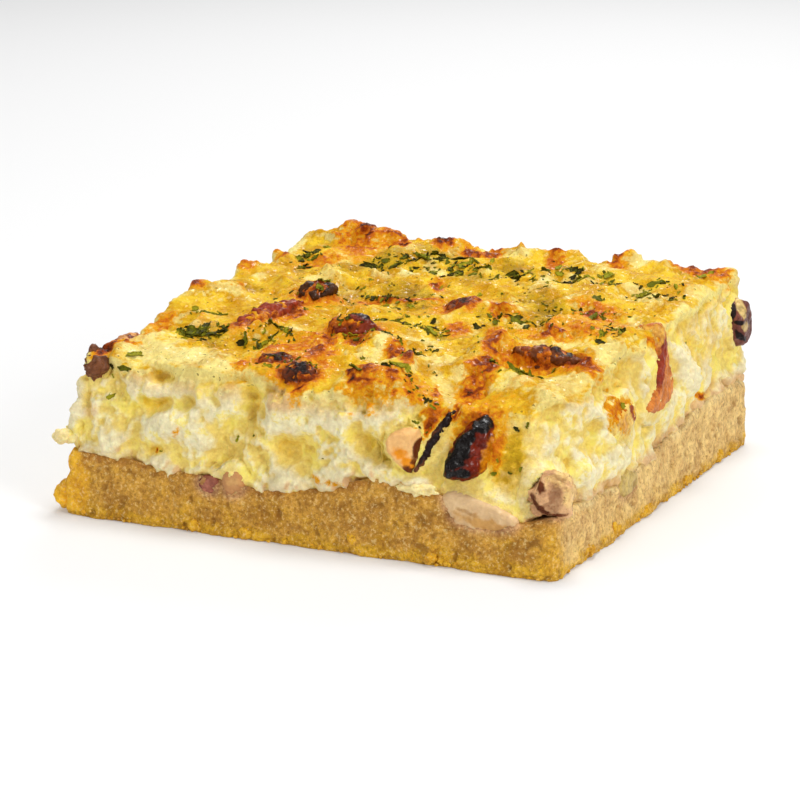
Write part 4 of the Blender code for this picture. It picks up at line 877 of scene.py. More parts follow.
# %% The pieces' finishes, as places in millimetres
MORSELS = {
    "chicken_chunk": dict(grain=(1.6, 0.10), wear=1,
                          dark=[(22.7, 20.2, 0.8, 4.0, -4, 1.0), (21.6, 16.8, 1.8, 1.0, -40, 0.85)],
                          warm=[(19.8, 20.0, 1.7, 1.3, -30, 0.8), (21.6, 17.9, 1.9, 1.3, -50, 1.0)]),
    "mushroom_edge": dict(grain=(0.9, 0.30), warm=[],
                          dark=[(26.4, 25.2, 2.4, 1.4, 50, 1.0), (24.2, 20.6, 4.0, 0.9, 66, 0.9)]),
    "charred_onion": dict(grain=(1.3, 0.34),
                          dark=[(30.2, 20.6, 5.4, 2.0, 68, 1.1), (33.2, 25.4, 2.0, 1.5, 0, 1.1),
                                (31.4, 17.4, 2.2, 1.0, 0, 1.0)],
                          warm=[(35.6, 20.0, 1.4, 4.4, 0, 1.0)]),
    "red_onion_left": dict(grain=(1.6, 0.20), dark=[(-20.8, 9.6, 1.2, 2.2, 0, 0.7)], warm=[]),
    "red_onion_right": dict(grain=(1.4, 0.24), dark=[(-14.0, 8.0, 2.4, 0.9, -20, 0.6)],
                            warm=[(-13.6, 10.8, 1.8, 1.2, 0, 0.7)]),
    "onion_layer": dict(grain=(2.6, 0.26), dark=[(33.0, 10.6, 3.0, 0.5, -16, 0.6)],
                        warm=[(38.4, 8.0, 7.6, 1.7, -14, 1.0)]),
    "bacon_strip": dict(grain=(1.2, 0.26), dark=[(1.4, 27.4, 6.4, 1.5, 58, 1.0)],
                        warm=[(1.4, 33.0, 3.0, 2.2, 0, 0.9), (-2.4, 27.6, 5.0, 1.0, 58, 0.8)]),
    "onion_sliver": dict(grain=(1.2, 0.24), dark=[(-14.2, 21.2, 3.6, 1.0, -70, 0.8)],
                         warm=[(-19.0, 21.0, 4.0, 2.6, 0, 0.7)]),
    "mushroom_slice": dict(grain=(1.3, 0.20), wear=3,
                           dark=[(63.8, 26.9, 1.4, 0.6, -10, 1.1), (64.2, 24.0, 1.9, 0.8, -50, 1.1),
                                 (62.6, 28.8, 1.9, 0.6, 85, 1.0)],
                           warm=[(64.3, 29.5, 2.1, 0.9, -68, 1.1), (65.2, 25.7, 1.3, 0.9, -60, 1.1)]),
    "onion_bit_right": dict(grain=(2.0, 0.22), dark=[], warm=[(-12.0, 9.0, 3.0, 1.4, 0, 0.5)]),
    # The corner mushroom's dark left side and underside are partly its brown skin and partly painted shade.
    "corner_mushroom": dict(grain=(0.8, 0.34), wear=8, lumps=1.3,
                            dark=[(46.9, 17.2, 0.9, 1.6, 20, 0.9), (46.4, 13.6, 2.4, 0.9, -45, 1.0),
                                  (49.4, 11.8, 2.6, 0.5, 8, 0.8), (45.4, 15.2, 1.4, 0.6, -15, 0.8)],
                            warm=[(49.4, 18.2, 2.4, 1.5, 0, 0.9), (51.4, 15.0, 1.4, 2.6, 0, 0.7)]),
    "mushroom_left": dict(grain=(0.9, 0.60), wear=4, lumps=1.3, dark=[(-45.4, 29.6, 1.6, 3.4, 0, 0.9)],
                          warm=[(-42.4, 28.0, 1.6, 2.0, 0, 0.6)]),
    "mushroom_rind": dict(grain=(1.4, 0.45), dark=[(-45.4, -41.0, 2.4, 1.6, 0, 0.7)],
                          warm=[(-45.0, -33.0, 2.0, 5.0, 0, 0.7)]),
    "dark_chunk": dict(grain=(1.6, 0.55), lumps=0.8,
                       dark=[(-2.4, -18.4, 3.4, 2.2, 20, 0.8), (-9.0, -18.0, 1.4, 2.0, 0, 0.7)],
                       warm=[(-6.4, -21.2, 3.2, 1.0, 0, 0.6)]),
    "red_strip": dict(grain=(1.5, 0.50), lumps=0.8, dark=[(-26.6, -8.0, 1.6, 3.6, -14, 0.6)],
                      warm=[(-23.6, -20.0, 2.4, 5.0, -14, 0.8)]),
    "charred_tip": dict(grain=(1.3, 0.55), lumps=0.8, dark=[(-21.6, 0.4, 2.6, 2.4, 0, 0.8)],
                        warm=[(-25.0, 2.6, 1.6, 1.6, 0, 0.6)]),
    "brown_slice": dict(grain=(1.5, 0.50), lumps=0.8, dark=[(6.0, 3.6, 3.4, 1.6, -20, 0.6)],
                        warm=[(9.4, 7.6, 3.0, 2.2, 0, 0.6)]),
    "charred_strip": dict(grain=(1.3, 0.50), lumps=0.8, dark=[(38.0, -21.0, 4.0, 1.8, 0, 0.8)],
                          warm=[(31.6, -21.4, 3.0, 1.8, 0, 0.6)]),
    "charred_front": dict(grain=(1.1, 0.55), lumps=0.8, dark=[(-2.4, -47.4, 2.6, 1.6, 0, 0.9)],
                          warm=[(-3.6, -44.6, 2.0, 1.4, 0, 0.5)]),
    "charred_leaf": dict(grain=(1.1, 0.50), lumps=0.8, dark=[(-8.6, -42.6, 3.0, 1.6, -12, 0.9)],
                         warm=[(-11.6, -40.6, 1.8, 1.4, 0, 0.6)]),
}
ALONG_X, ALONG_Y, UPWARD = (1, 0, 0), (0, 1, 0), (0, 0, 1)
ALONG_CORNER = (math.cos(AZIMUTH), math.sin(AZIMUTH), 0)
SEEN_FROM = {"mushroom_slice": (ALONG_CORNER, UPWARD)}
SEEN_FROM.update({name: (ALONG_X, UPWARD) for name in ("chicken_chunk", "mushroom_edge", "charred_onion",
                  "red_onion_left", "red_onion_right", "onion_layer", "corner_mushroom")})
SEEN_FROM.update({name: (ALONG_Y, UPWARD) for name in ("mushroom_left", "bacon_strip", "onion_sliver",
                                                       "onion_bit_right")})


def add_morsel(name, seed):
    """One piece of mushroom, meat or onion in place of its solid, with its grain and its masks."""
    finish = MORSELS[name]
    points, faces = fine_copy(name, finish.get("wear", 2))
    normals = vertex_normals(points, faces)
    size, depth = finish["grain"]
    relief = depth * (noise_at(points, size, seed) + 0.5 * noise_at(points, size / 2.3, seed + 5))
    relief += depth * (curds_at(points, 1.3 * size, seed) - 0.75)
    relief += finish.get("lumps", 0.0) * noise_at(points, 3.0, seed + 7)
    points = np.clip(points + normals * relief[:, None], box_low, box_high)
    u, v = (points @ np.array(axis) for axis in SEEN_FROM.get(name, (ALONG_X, ALONG_Y)))
    rough = 0.35 * noise_at(points, 1.8, seed + 9) + 0.2 * noise_at(points, 0.8, seed + 11)
    # High is how far the grain stands out; the finish lays painted shade where it is low.
    masks = {"dark": spot_mask(u, v, rough, finish["dark"]), "warm": spot_mask(u, v, rough, finish["warm"]),
             "high": smooth_step(-depth, depth, relief)}
    piece = add_piece(name + "_fine", points, faces, masks)
    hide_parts(name)
    return piece


morsels = {}
for kind, names in PIECES.items():
    for name in names:
        morsels[name] = add_morsel(name, 10.0 + len(morsels))
print("pieces", len(morsels), "triangles", 2 * sum(len(m.data.polygons) for m in morsels.values()))

# %% [markdown]
# Crumbs cling to the foot of the crust, where it broke away from the tray, and two drips of filling hang
# over it. Each is a ball of fine cells pushed about by noise. The large ones are where the solids have
# theirs, and small ones are scattered along the front and right edges.

# %% Crumbs and drips
CRUMBS = [
    ((-50.4, -46.6, 3.1), (5.0, 9.0, 6.4)), ((-22.0, -51.3, 1.2), (2.6, 1.8, 2.2)),
    ((-11.2, -51.3, 1.0), (3.4, 1.7, 1.9)), ((10.4, -51.4, 2.9), (1.9, 1.6, 2.4)),
    ((25.8, -51.5, 1.3), (2.3, 2.0, 2.4)), ((49.8, -35.0, 1.4), (1.8, 4.4, 2.4)),
    ((49.8, -22.0, 1.5), (1.8, 3.8, 2.6)), ((49.7, -6.0, 1.3), (1.8, 4.6, 2.2)),
    ((49.6, 16.0, 1.2), (1.8, 4.0, 2.0)), ((49.6, 35.0, 1.3), (1.8, 4.2, 2.1)),
]
DRIPS = [((-50.0, -50.0, 14.6), (4.2, 3.4, 3.2)), ((23.0, -50.7, 13.7), (7.4, 3.2, 2.2))]
SMALL_CRUMBS = 130


def lumps_mesh(lumps, detail, seed):
    """Joined points and faces of many lumps: place and full size of each."""
    ball = bmesh.new()
    bmesh.ops.create_icosphere(ball, subdivisions=detail, radius=0.5)
    ways = np.array([v.co[:] for v in ball.verts])
    ball_faces = np.array([[v.index for v in f.verts] for f in ball.faces])
    ball.free()
    points, faces = [], []
    for place, size in lumps:
        lump = ways * size + place
        middle = np.array(place)
        push = 0.45 * noise_at(lump, 0.55 * min(size), seed)
        push += 0.22 * noise_at(lump, 0.25 * min(size), seed + 3)
        lump = middle + (lump - middle) * (1 + push[:, None])
        faces.append(ball_faces + len(points) * len(ways))
        points.append(np.clip(lump, box_low, box_high))
    return np.vstack(points), np.vstack(faces)


draw = random.Random(31)
small = []
for _ in range(SMALL_CRUMBS):
    side, run = draw.random(), draw.uniform(-49, 49)
    across_size = draw.uniform(0.35, 1.0)
    high = draw.uniform(0.2, 1.3) * draw.random() + 0.2
    place = (run, -HALF_DEPTH + 0.1, high) if side < 0.55 else (HALF_WIDTH - 0.1, run, high)
    stretch = (1.0, draw.uniform(0.7, 1.3), draw.uniform(0.7, 1.1))
    small.append((place, tuple(across_size * share for share in stretch)))
large_points, large_faces = lumps_mesh(CRUMBS, 4, 5.0)
small_points, small_faces = lumps_mesh(small, 2, 6.0)
crumb_count = len(large_points) + len(small_points)
crumb_masks = {label: np.zeros(crumb_count) for label in crust_masks}
crumb_masks["gold"] += 1.0
crumb_masks["fried_edge"] += np.where(np.concatenate([large_points, small_points])[:, 0] < -45, 0.8, 0.4)
crumbs = add_piece("pastry_crumbs", np.vstack([large_points, small_points]),
                   np.vstack([large_faces, small_faces + len(large_points)]), crumb_masks)
drip_points, drip_faces = lumps_mesh(DRIPS, 5, 7.0)
drip_count = len(drip_points)
drip_masks = {label: np.zeros(drip_count) for label in filling_masks}
drip_masks["yolk_and_shade"] += 0.35
drip_masks["curd_shading"] += 0.6
drips = add_piece("filling_drips", drip_points, drip_faces, drip_masks)
print("crumbs", len(small) + len(CRUMBS))

# %% [markdown]
# Dried parsley is scattered by hand, so it falls in drifts: thick over the middle and the back, thin near
# the front. A flake is a torn strip of leaf, a sixth of a millimetre thick, that curls as it dries. The
# drifts are ovals, and a seeded draw places flakes in each; a ray finds the skin under each one.

# %% One flake of parsley
FLAKE_THICKNESS = 0.16


def flake_mesh(draw, length):
    """Points and faces of one torn, curled flake round the origin, closed, with its tip along x."""
    steps, sides = 6, 3
    width = length * draw.uniform(0.35, 0.75)
    curl = draw.uniform(-0.9, 1.1) / length
    fold = draw.uniform(-0.2, 0.45)
    bend = draw.uniform(-0.25, 0.25)
    crinkle = [[draw.uniform(-0.07, 0.07) for _ in range(sides + 1)] for _ in range(steps + 1)]
    ragged_x = [[draw.uniform(-0.10, 0.10) for _ in range(sides + 1)] for _ in range(steps + 1)]
    halves = [width / 2 * (math.sin(math.pi * (0.12 + 0.8 * i / steps)) ** 0.6) * draw.uniform(0.4, 1.25)
              for i in range(steps + 1)]
    points = []
    for layer in (-0.5, 0.5):
        for i in range(steps + 1):
            t, half = i / steps, halves[i]
            for j in range(sides + 1):
                s = 2 * j / sides - 1
                x = length * (t - 0.5) + ragged_x[i][j] * length
                y = s * half + bend * length * (t - 0.5) ** 2
                z = curl * (x * x - length * length / 8) * 0.5 + fold * abs(s) * half
                z += crinkle[i][j] * length
                points.append((x, y, z + layer * FLAKE_THICKNESS))
    first_top = (steps + 1) * (sides + 1)
    faces = []
    for i in range(steps):
        for j in range(sides):
            a = i * (sides + 1) + j
            quad = (a, a + 1, a + sides + 2, a + sides + 1)
            faces.append(quad)
            faces.append(tuple(first_top + k for k in quad[::-1]))
    rim = [i * (sides + 1) for i in range(steps)] + [steps * (sides + 1) + j for j in range(sides)]
    rim += [(steps - i) * (sides + 1) + sides for i in range(steps)] + [sides - j for j in range(sides)]
    for k, a in enumerate(rim):
        b = rim[(k + 1) % len(rim)]
        faces.append((b, a, first_top + a, first_top + b))
    return np.array(points), faces


# %% The drifts of parsley
LARGE_FLAKES = [
    (-33, -30, 5.4), (-29, -28, 4.2), (-20, -22, 3.6), (-19, -29, 3.4), (-37, -46, 3.4), (-38, 26, 4.0),
    (-40, 33, 3.6), (-25, 27, 4.4), (-14, 32, 4.0), (-7, 35, 4.2), (-1, 32, 4.0), (6, 31, 3.4),
    (19, 33, 3.6), (20, 26, 3.2), (37, 31, 3.4), (40, 23, 3.6), (43, 43, 4.0), (30, 17, 3.4),
    (35, 3, 3.6), (30, 6, 3.4), (43, -4, 3.2), (21, -2, 3.2), (8, -12, 3.4), (16, -8, 3.2),
    (33, -31, 3.6), (16, -44, 4.0), (9, -47, 3.2), (-8, -10, 3.2), (-26, 12, 3.6), (40, -6, 3.0),
]
# Middle, half length, half width, turn, how many flakes, usual length
DRIFTS = [
    (-32, -29, 6, 4, 60, 34, 2.2), (-38, -15, 4, 2.5, 0, 8, 1.8), (-38, 29, 3, 7, 0, 18, 2.0),
    (-14, 31, 14, 6, 0, 74, 2.2), (14, 30, 16, 5, 0, 60, 2.0), (38, 27, 7, 6, 0, 24, 2.0),
    (30, 8, 9, 6, -20, 40, 1.8), (20, -3, 8, 4, 10, 20, 1.8), (5, -10, 8, 4, 0, 22, 1.8),
    (40, -5, 4, 4, 0, 12, 1.6), (-22, 3, 6, 5, 0, 22, 2.0), (-12, 10, 12, 4, -35, 22, 1.8),
    (-19, -27, 5, 6, 60, 20, 2.0), (33, -30, 6, 4, -20, 22, 1.8), (11, -25, 5, 4, 0, 12, 1.8),
    (-1, -22, 7, 4, 0, 26, 1.9), (18, -44, 8, 3, -20, 34, 1.6), (-6, -45, 8, 3, 0, 14, 1.6),
    (0, 0, 46, 46, 0, 110, 1.3),
]
# Side, place along it, height, length
WALL_FLAKES = [
    ("front", -40.2, 28.8, 1.5), ("front", -40.0, 27.1, 0.9), ("front", -40.1, 23.5, 1.8),
    ("front", -37.0, 29.0, 2.6),
    ("front", -13.6, 18.3, 1.2), ("front", -10.5, 19.1, 0.9), ("front", -29.3, 14.2, 0.6),
    ("front", 4.3, 17.0, 0.5), ("front", 36.6, 19.3, 0.9), ("front", 36.4, 17.2, 1.1),
    ("front", 39.3, 17.6, 0.9), ("front", 41.2, 18.4, 1.0), ("front", 39.2, 24.8, 1.3),
    ("front", 41.1, 25.6, 1.3), ("front", 45.6, 12.5, 1.1), ("right", -10.7, 10.6, 1.3),
    ("right", -18.0, 24.0, 1.6), ("right", 20.0, 27.0, 1.2),
]
COUNT_SCALE, LENGTH_SCALE = 1.6, 0.62
OUTSIDE = 90
WAYS_IN = {"front": Vector((0, 1, 0)), "right": Vector((-1, 0, 0)), "top": Vector((0, 0, -1))}
skin_tree = BVHTree.FromPolygons([Vector(p) for p in skin], [tuple(int(k) for k in q) for q in skin_quads])


def flake_places():
    """Where every flake goes: the side it shows on, two places along it and its length."""
    draw = random.Random(7)
    places = [("top", x, y, length) for x, y, length in LARGE_FLAKES]
    places += WALL_FLAKES
    for x, y, length, width, turn, count, usual in DRIFTS:
        for _ in range(int(COUNT_SCALE * count)):
            out, way = math.sqrt(draw.random()), draw.uniform(0, math.tau)
            along, across = out * length * math.cos(way), out * width * math.sin(way)
            cosine, sine = math.cos(math.radians(turn)), math.sin(math.radians(turn))
            places.append(("top", x + along * cosine - across * sine, y + along * sine + across * cosine,
                           LENGTH_SCALE * usual * math.exp(draw.gauss(-0.1, 0.5))))
    return places


def add_parsley():
    """All flakes as one piece, each with its own tone."""
    draw = random.Random(17)
    points, faces, tones = [], [], []
    for side, u, v, length in flake_places():
        starts = {"front": (u, -OUTSIDE, v), "right": (OUTSIDE, u, v), "top": (u, v, OUTSIDE)}
        hit, normal, _, _ = skin_tree.ray_cast(Vector(starts[side]), WAYS_IN[side])
        if hit is None or (side == "top" and normal.z < 0.35):
            continue
        mesh, leaf_faces = flake_mesh(draw, length)
        spin = Matrix.Rotation(draw.uniform(0, math.tau), 3, "Z")
        tilt = Euler((draw.gauss(0, 0.28), draw.gauss(0, 0.28), 0)).to_matrix()
        turn = normal.to_track_quat("Z", "Y").to_matrix() @ tilt @ spin
        placed = mesh @ np.array(turn).T + np.array(hit + normal * (0.02 + 0.03 * length))
        first = len(points) * len(mesh)
        faces += [tuple(first + k for k in face) for face in leaf_faces]
        points.append(np.clip(placed, box_low, box_high))
        tones += [draw.random()] * len(mesh)
    piece = add_piece("parsley", np.vstack(points), faces, {"tone": np.array(tones)})
    print("flakes", len(points), "triangles", 2 * len(faces))
    return piece


parsley = add_parsley()

# %% [markdown]
# Now the finishes. The filling, the pieces and the crust share a few effects: they all brown in the same
# order of colours, and all are mottled. Each shared effect is a node group with named sockets. It puts out
# colours and values only, and every material feeds those into a shader of its own.

# %% Helpers for shader nodes
def photo_colour(red, green, blue):
    """A colour given as it looks in a picture, 0 to 255, for a socket that wants linear light."""
    shares = [c / 255 for c in (red, green, blue)]
    return (*[c / 12.92 if c <= 0.04045 else ((c + 0.055) / 1.055) ** 2.4 for c in shares], 1)


def feed(tree, socket, value):
    """Links an output into a socket, or sets the socket to a number or a colour."""
    if isinstance(value, bpy.types.NodeSocket):
        tree.links.new(value, socket)
    else:
        socket.default_value = value


def math_node(tree, operation, a, b=0.0, clamp=False):
    """The result of a Math node."""
    node = tree.nodes.new("ShaderNodeMath")
    node.operation = operation
    node.use_clamp = clamp
    feed(tree, node.inputs[0], a)
    feed(tree, node.inputs[1], b)
    return node.outputs[0]


def span(tree, value, low, high, to_low=0.0, to_high=1.0):
    """A value spread smoothly from one range to another."""
    node = tree.nodes.new("ShaderNodeMapRange")
    node.interpolation_type = "SMOOTHSTEP"
    items = {"Value": value, "From Min": low, "From Max": high, "To Min": to_low, "To Max": to_high}
    for label, item in items.items():
        feed(tree, node.inputs[label], item)
    return node.outputs["Result"]


def blend(tree, share, a, b, kind="MIX"):
    """Two colours mixed by a share."""
    node = tree.nodes.new("ShaderNodeMix")
    node.data_type = "RGBA"
    node.blend_type = kind
    feed(tree, node.inputs["Factor"], share)
    feed(tree, node.inputs[6], a)
    feed(tree, node.inputs[7], b)
    return node.outputs[2]


def noise_of(tree, wavelength, detail=2.0, roughness=0.5):
    """Noise from 0 to 1 with a wavelength in millimetres."""
    place = tree.nodes.new("ShaderNodeTexCoord")
    node = tree.nodes.new("ShaderNodeTexNoise")
    tree.links.new(place.outputs["Object"], node.inputs["Vector"])
    node.inputs["Scale"].default_value = 1 / (wavelength * MM)
    node.inputs["Detail"].default_value = detail
    node.inputs["Roughness"].default_value = roughness
    return node.outputs["Fac"]


def mask_of(tree, label):
    """A mask that was kept on the mesh's points."""
    node = tree.nodes.new("ShaderNodeAttribute")
    node.attribute_type = "GEOMETRY"
    node.attribute_name = label
    return node.outputs["Fac"]


def start_group(name, inputs, outputs):
    """A new node group with named sockets, and its input and output nodes."""
    group = bpy.data.node_groups.new(name, "ShaderNodeTree")
    for label, kind, value in inputs:
        socket = group.interface.new_socket(label, in_out="INPUT", socket_type=kind)
        socket.default_value = value
    for label, kind in outputs:
        group.interface.new_socket(label, in_out="OUTPUT", socket_type=kind)
    return group, group.nodes.new("NodeGroupInput"), group.nodes.new("NodeGroupOutput")


def place_group(tree, group, **values):
    """A group placed in a material, with its sockets fed. Underscores stand for spaces."""
    node = tree.nodes.new("ShaderNodeGroup")
    node.node_tree = group
    for label, value in values.items():
        feed(tree, node.inputs[label.replace("_", " ")], value)
    return node.outputs


# %% [markdown]
# Browning always runs through the same colours: the raw food, then gold, orange, red-brown and at last
# nearly black. The amount is broken up by noise before it picks the colour, because fat blisters brown
# first. The same amount makes the surface glossier, until it chars.

# %% The browning group
FLOAT, COLOUR = "NodeSocketFloat", "NodeSocketColor"
BROWNING_STEPS = [
    (0.06, 0.24, photo_colour(226, 158, 18)), (0.22, 0.44, photo_colour(202, 108, 12)),
    (0.42, 0.64, photo_colour(134, 54, 10)), (0.62, 0.90, photo_colour(40, 18, 8)),
]


def browning_group():
    """Raw colour and an amount in; the browned colour and its roughness out."""
    group, given, result = start_group(
        "browning",
        [("Raw Color", COLOUR, (1, 1, 1, 1)), ("Amount", FLOAT, 0.0), ("Break Up", FLOAT, 0.25),
         ("Raw Roughness", FLOAT, 0.5)],
        [("Color", COLOUR), ("Roughness", FLOAT), ("Amount", FLOAT)])
    patchy = math_node(group, "SUBTRACT", noise_of(group, 1.1, 3.0, 0.65), 0.5)
    jog = math_node(group, "MULTIPLY", patchy, given.outputs["Break Up"])
    some = span(group, given.outputs["Amount"], 0.02, 0.2)
    jog = math_node(group, "MULTIPLY", jog, some)
    amount = math_node(group, "ADD", given.outputs["Amount"], jog, clamp=True)
    colour = given.outputs["Raw Color"]
    for low, high, shade in BROWNING_STEPS:
        colour = blend(group, span(group, amount, low, high), colour, shade)
    feed(group, result.inputs["Color"], colour)
    oily = span(group, amount, 0.1, 0.5, given.outputs["Raw Roughness"], 0.42)
    feed(group, result.inputs["Roughness"], oily)
    feed(group, result.inputs["Amount"], amount)
    return group


browning = browning_group()

# %% The mottle and grain groups
def mottle_group():
    """A colour made lighter and darker in soft patches."""
    group, given, result = start_group(
        "mottle", [("Color", COLOUR, (1, 1, 1, 1)), ("Strength", FLOAT, 0.2)], [("Color", COLOUR)])
    wide = noise_of(group, 5.0, 2.0)
    fine = noise_of(group, 0.9, 3.0, 0.6)
    half_wide = math_node(group, "MULTIPLY", wide, 0.5)
    both = math_node(group, "ADD", half_wide, math_node(group, "MULTIPLY", fine, 0.5))
    light = span(group, both, 0.35, 0.65, 0.0, 1.0)
    strength = given.outputs["Strength"]
    darker = blend(group, strength, given.outputs["Color"], photo_colour(150, 130, 90), "MULTIPLY")
    lighter = blend(group, strength, given.outputs["Color"], photo_colour(255, 250, 225), "SOFT_LIGHT")
    feed(group, result.inputs["Color"], blend(group, light, darker, lighter))
    return group


def grain_group():
    """A height for a bump, from two sizes of grain."""
    group, given, result = start_group(
        "grain", [("Fine Share", FLOAT, 0.5)], [("Height", FLOAT)])
    coarse = noise_of(group, 0.8, 2.0, 0.5)
    fine = noise_of(group, 0.28, 2.0, 0.6)
    node = group.nodes.new("ShaderNodeMix")
    feed(group, node.inputs["Factor"], given.outputs["Fine Share"])
    feed(group, node.inputs["A"], coarse)
    feed(group, node.inputs["B"], fine)
    feed(group, result.inputs["Height"], node.outputs["Result"])
    return group


mottle = mottle_group()
grain = grain_group()
print("node groups", [group.name for group in (browning, mottle, grain)])

# %% [markdown]
# Egg and cheese let light in, so the shader scatters some of it under the surface, redder the deeper it
# goes. At a cut the colour is cream on the faces of the curds, as painted light, and yolk yellow in their
# creases, as painted shade. The skin on top is golden, with herb oil and painted shade in olive in its dips.
# The masks decide which, and fine noise in the shader breaks up the edges between them.

# %% A material's frame
def start_material(name, scatter, depth, gloss=0.5):
    """A new material with its shader. Scatter is the share of light that goes under the surface."""
    made = bpy.data.materials.new(name)
    made.use_nodes = True
    shader = made.node_tree.nodes["Principled BSDF"]
    shader.inputs["Subsurface Weight"].default_value = scatter
    shader.inputs["Subsurface Radius"].default_value = (1.0, 0.55, 0.22)
    shader.inputs["Subsurface Scale"].default_value = depth * MM
    shader.inputs["Specular IOR Level"].default_value = gloss
    shader.inputs["Coat Roughness"].default_value = 0.12
    return made, made.node_tree, shader


def bump(tree, shader, height, depth):
    """Fine relief in the shader: depth in millimetres."""
    node = tree.nodes.new("ShaderNodeBump")
    node.inputs["Strength"].default_value = 1.0
    node.inputs["Distance"].default_value = depth * MM
    feed(tree, node.inputs["Height"], height)
    feed(tree, shader.inputs["Normal"], node.outputs["Normal"])


# %% The filling's material
CREAM = photo_colour(255, 243, 198)
BUTTER = photo_colour(255, 224, 122)
LEMON = photo_colour(253, 226, 104)
YOLK_AND_SHADE = photo_colour(242, 190, 34)
GOLDEN = photo_colour(218, 158, 8)
PALE_GOLD = photo_colour(234, 188, 42)
PALE_SKIN = photo_colour(247, 224, 136)
HERB_OIL_AND_SHADE = photo_colour(156, 120, 4)
TAN_PINK = photo_colour(228, 180, 130)
SPECK = photo_colour(92, 68, 18)


def filling_material():
    """Curdled egg and cheese at the cuts, golden and browned on top."""
    made, tree, shader = start_material("baked_filling", 0.18, 0.9, 0.08)
    fine = math_node(tree, "SUBTRACT", noise_of(tree, 1.2, 4.0, 0.65), 0.5)
    # Painted light and shade: cream where the curds stand out, butter yellow in their creases.
    curd_shading = math_node(tree, "ADD", mask_of(tree, "curd_shading"), math_node(tree, "MULTIPLY", fine, 0.7))
    wall = blend(tree, span(tree, curd_shading, 0.1, 0.95), BUTTER, CREAM)
    patch = math_node(tree, "ADD", noise_of(tree, 5.0, 4.0, 0.6), math_node(tree, "MULTIPLY", fine, 0.5))
    wall = blend(tree, span(tree, patch, 0.52, 0.66, 0.0, 0.75), wall, LEMON)
    skin = blend(tree, span(tree, patch, 0.38, 0.62), GOLDEN, PALE_GOLD)
    # Pale skin: the top's own pale patches, and painted light on steep faces.
    pale_and_lit = math_node(tree, "ADD", mask_of(tree, "pale_and_lit"), fine)
    skin = blend(tree, span(tree, pale_and_lit, 0.15, 0.75), skin, PALE_SKIN)
    colour = blend(tree, mask_of(tree, "lip"), wall, skin)
    # Yolk yellow: the filling's own, and painted shade in creases and hollows.
    yellow = math_node(tree, "ADD", mask_of(tree, "yolk_and_shade"), math_node(tree, "MULTIPLY", fine, 0.7))
    colour = blend(tree, span(tree, yellow, 0.2, 1.0, 0.0, 0.95), colour, YOLK_AND_SHADE)
    colour = blend(tree, span(tree, mask_of(tree, "pink"), 0.1, 1.0, 0.0, 0.9), colour, TAN_PINK)
    # Olive: herb oil, and painted shade in the top's dips.
    green = math_node(tree, "ADD", mask_of(tree, "olive_and_shade"), math_node(tree, "MULTIPLY", fine, 0.6))
    colour = blend(tree, span(tree, green, 0.15, 0.85, 0.0, 0.95), colour, HERB_OIL_AND_SHADE)
    dusty = math_node(tree, "MULTIPLY", mask_of(tree, "olive_and_shade"), 0.12)
    dust = span(tree, math_node(tree, "ADD", noise_of(tree, 0.9, 1.0), dusty), 0.69, 0.76, 0.0, 0.75)
    colour = blend(tree, math_node(tree, "MULTIPLY", dust, mask_of(tree, "lip")), colour, SPECK)
    colour = place_group(tree, mottle, Color=colour, Strength=0.3)["Color"]
    browned = place_group(tree, browning, Raw_Color=colour, Amount=mask_of(tree, "brown"), Break_Up=0.8,
                          Raw_Roughness=0.5)
    feed(tree, shader.inputs["Base Color"], browned["Color"])
    feed(tree, shader.inputs["Roughness"], browned["Roughness"])
    beads = span(tree, noise_of(tree, 0.8, 2.0), 0.56, 0.66)
    beads = math_node(tree, "MULTIPLY", beads, mask_of(tree, "lip"))
    feed(tree, shader.inputs["Coat Weight"], math_node(tree, "MULTIPLY", beads, 0.8))
    bump(tree, shader, place_group(tree, grain, Fine_Share=0.5)["Height"], 0.55)
    return made


baked_filling = filling_material()
for piece in (*filling_parts, drips):
    piece.data.materials.append(baked_filling)

# %% [markdown]
# The crust scatters little light and has no shine, except a trace of fried fat along its foot. It is sandy
# tan where it was cut, with painted shade in its pits, and painted light makes the right face paler. It turns
# to saturated gold at the foot and at its fried corner.

# %% The pastry's material
SANDY = photo_colour(202, 146, 60)
LIT_SIDE_SAND = photo_colour(244, 198, 128)
FRIED = photo_colour(222, 164, 30)
FRIED_EDGE = photo_colour(254, 182, 44)
STAIN = photo_colour(196, 146, 112)
TOASTED = photo_colour(184, 120, 54)
LIT_TOP_LINE = photo_colour(246, 216, 156)
PIT_SHADE_AND_SPECK = photo_colour(122, 74, 20)
GLINT = photo_colour(246, 216, 146)


